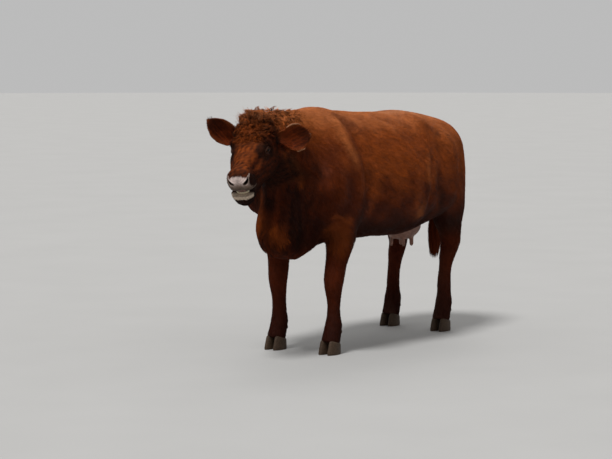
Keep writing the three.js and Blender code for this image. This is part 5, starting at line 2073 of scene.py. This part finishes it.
class COW_OT_barrel_coat(bpy.types.Operator):
    """Grows the coat of the barrel"""

    bl_idname = "cow.barrel_coat"
    bl_label = "Barrel Coat"

    def execute(self, context):
        return grow_part(context, make_barrel_coat)


class COW_OT_neck_coat(bpy.types.Operator):
    """Grows the coat of the neck and chest"""

    bl_idname = "cow.neck_coat"
    bl_label = "Neck Coat"

    def execute(self, context):
        return grow_part(context, make_neck_coat)


class COW_OT_leg_coat(bpy.types.Operator):
    """Grows the coat of the legs"""

    bl_idname = "cow.leg_coat"
    bl_label = "Leg Coat"

    def execute(self, context):
        return grow_part(context, make_leg_coat)


class COW_OT_tail_coat(bpy.types.Operator):
    """Grows the coat of the tail"""

    bl_idname = "cow.tail_coat"
    bl_label = "Tail Coat"

    def execute(self, context):
        return grow_part(context, make_tail_coat)


class COW_OT_face_coat(bpy.types.Operator):
    """Grows the short hair of the face"""

    bl_idname = "cow.face_coat"
    bl_label = "Face Coat"

    def execute(self, context):
        return grow_part(context, make_face_coat)


class COW_OT_curls(bpy.types.Operator):
    """Grows the curls of the forehead"""

    bl_idname = "cow.curls"
    bl_label = "Poll Curls"

    def execute(self, context):
        return grow_part(context, make_curls)


class COW_OT_crest(bpy.types.Operator):
    """Grows the long hair on top of the neck"""

    bl_idname = "cow.crest"
    bl_label = "Neck Crest"

    def execute(self, context):
        return grow_part(context, make_crest)


class COW_OT_ear_coat(bpy.types.Operator):
    """Grows the hair of the ears"""

    bl_idname = "cow.ear_coat"
    bl_label = "Ear Coat"

    def execute(self, context):
        return grow_part(context, make_ear_coat)


class COW_OT_switch(bpy.types.Operator):
    """Grows the switch at the end of the tail"""

    bl_idname = "cow.switch"
    bl_label = "Tail Switch"

    def execute(self, context):
        return grow_part(context, make_switch)


STEPS = (COW_OT_stage, COW_OT_hide, COW_OT_eyes, COW_OT_mouth, COW_OT_hooves, COW_OT_barrel_coat,
         COW_OT_neck_coat, COW_OT_leg_coat, COW_OT_tail_coat, COW_OT_face_coat, COW_OT_curls,
         COW_OT_crest, COW_OT_ear_coat, COW_OT_switch)


class COW_PT_panel(bpy.types.Panel):
    bl_label = "Standing Cow"
    bl_idname = "COW_PT_panel"
    bl_space_type = "VIEW_3D"
    bl_region_type = "UI"
    bl_category = "Cow"

    def draw(self, context):
        for step in STEPS:
            self.layout.operator(step.bl_idname)
        for group in GROUPS:
            settings = getattr(context.scene, group)
            box = self.layout.box()
            for name in settings.__annotations__:
                box.prop(settings, name)


GROUPS = {"cow_skin": CowSkinSettings, "cow_coat": CowCoatSettings, "cow_face": CowFaceSettings,
          "cow_stage": CowStageSettings}


def register():
    for name, group in GROUPS.items():
        bpy.utils.register_class(group)
        setattr(bpy.types.Scene, name, bpy.props.PointerProperty(type=group))
    for step in (*STEPS, COW_PT_panel):
        bpy.utils.register_class(step)


def unregister():
    for step in (COW_PT_panel, *reversed(STEPS)):
        bpy.utils.unregister_class(step)
    for name, group in GROUPS.items():
        delattr(bpy.types.Scene, name)
        bpy.utils.unregister_class(group)


def main():
    register()
    for step in STEPS:
        group, name = step.bl_idname.split(".")
        getattr(getattr(bpy.ops, group), name)()
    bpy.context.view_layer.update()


if __name__ == "__main__":
    main()
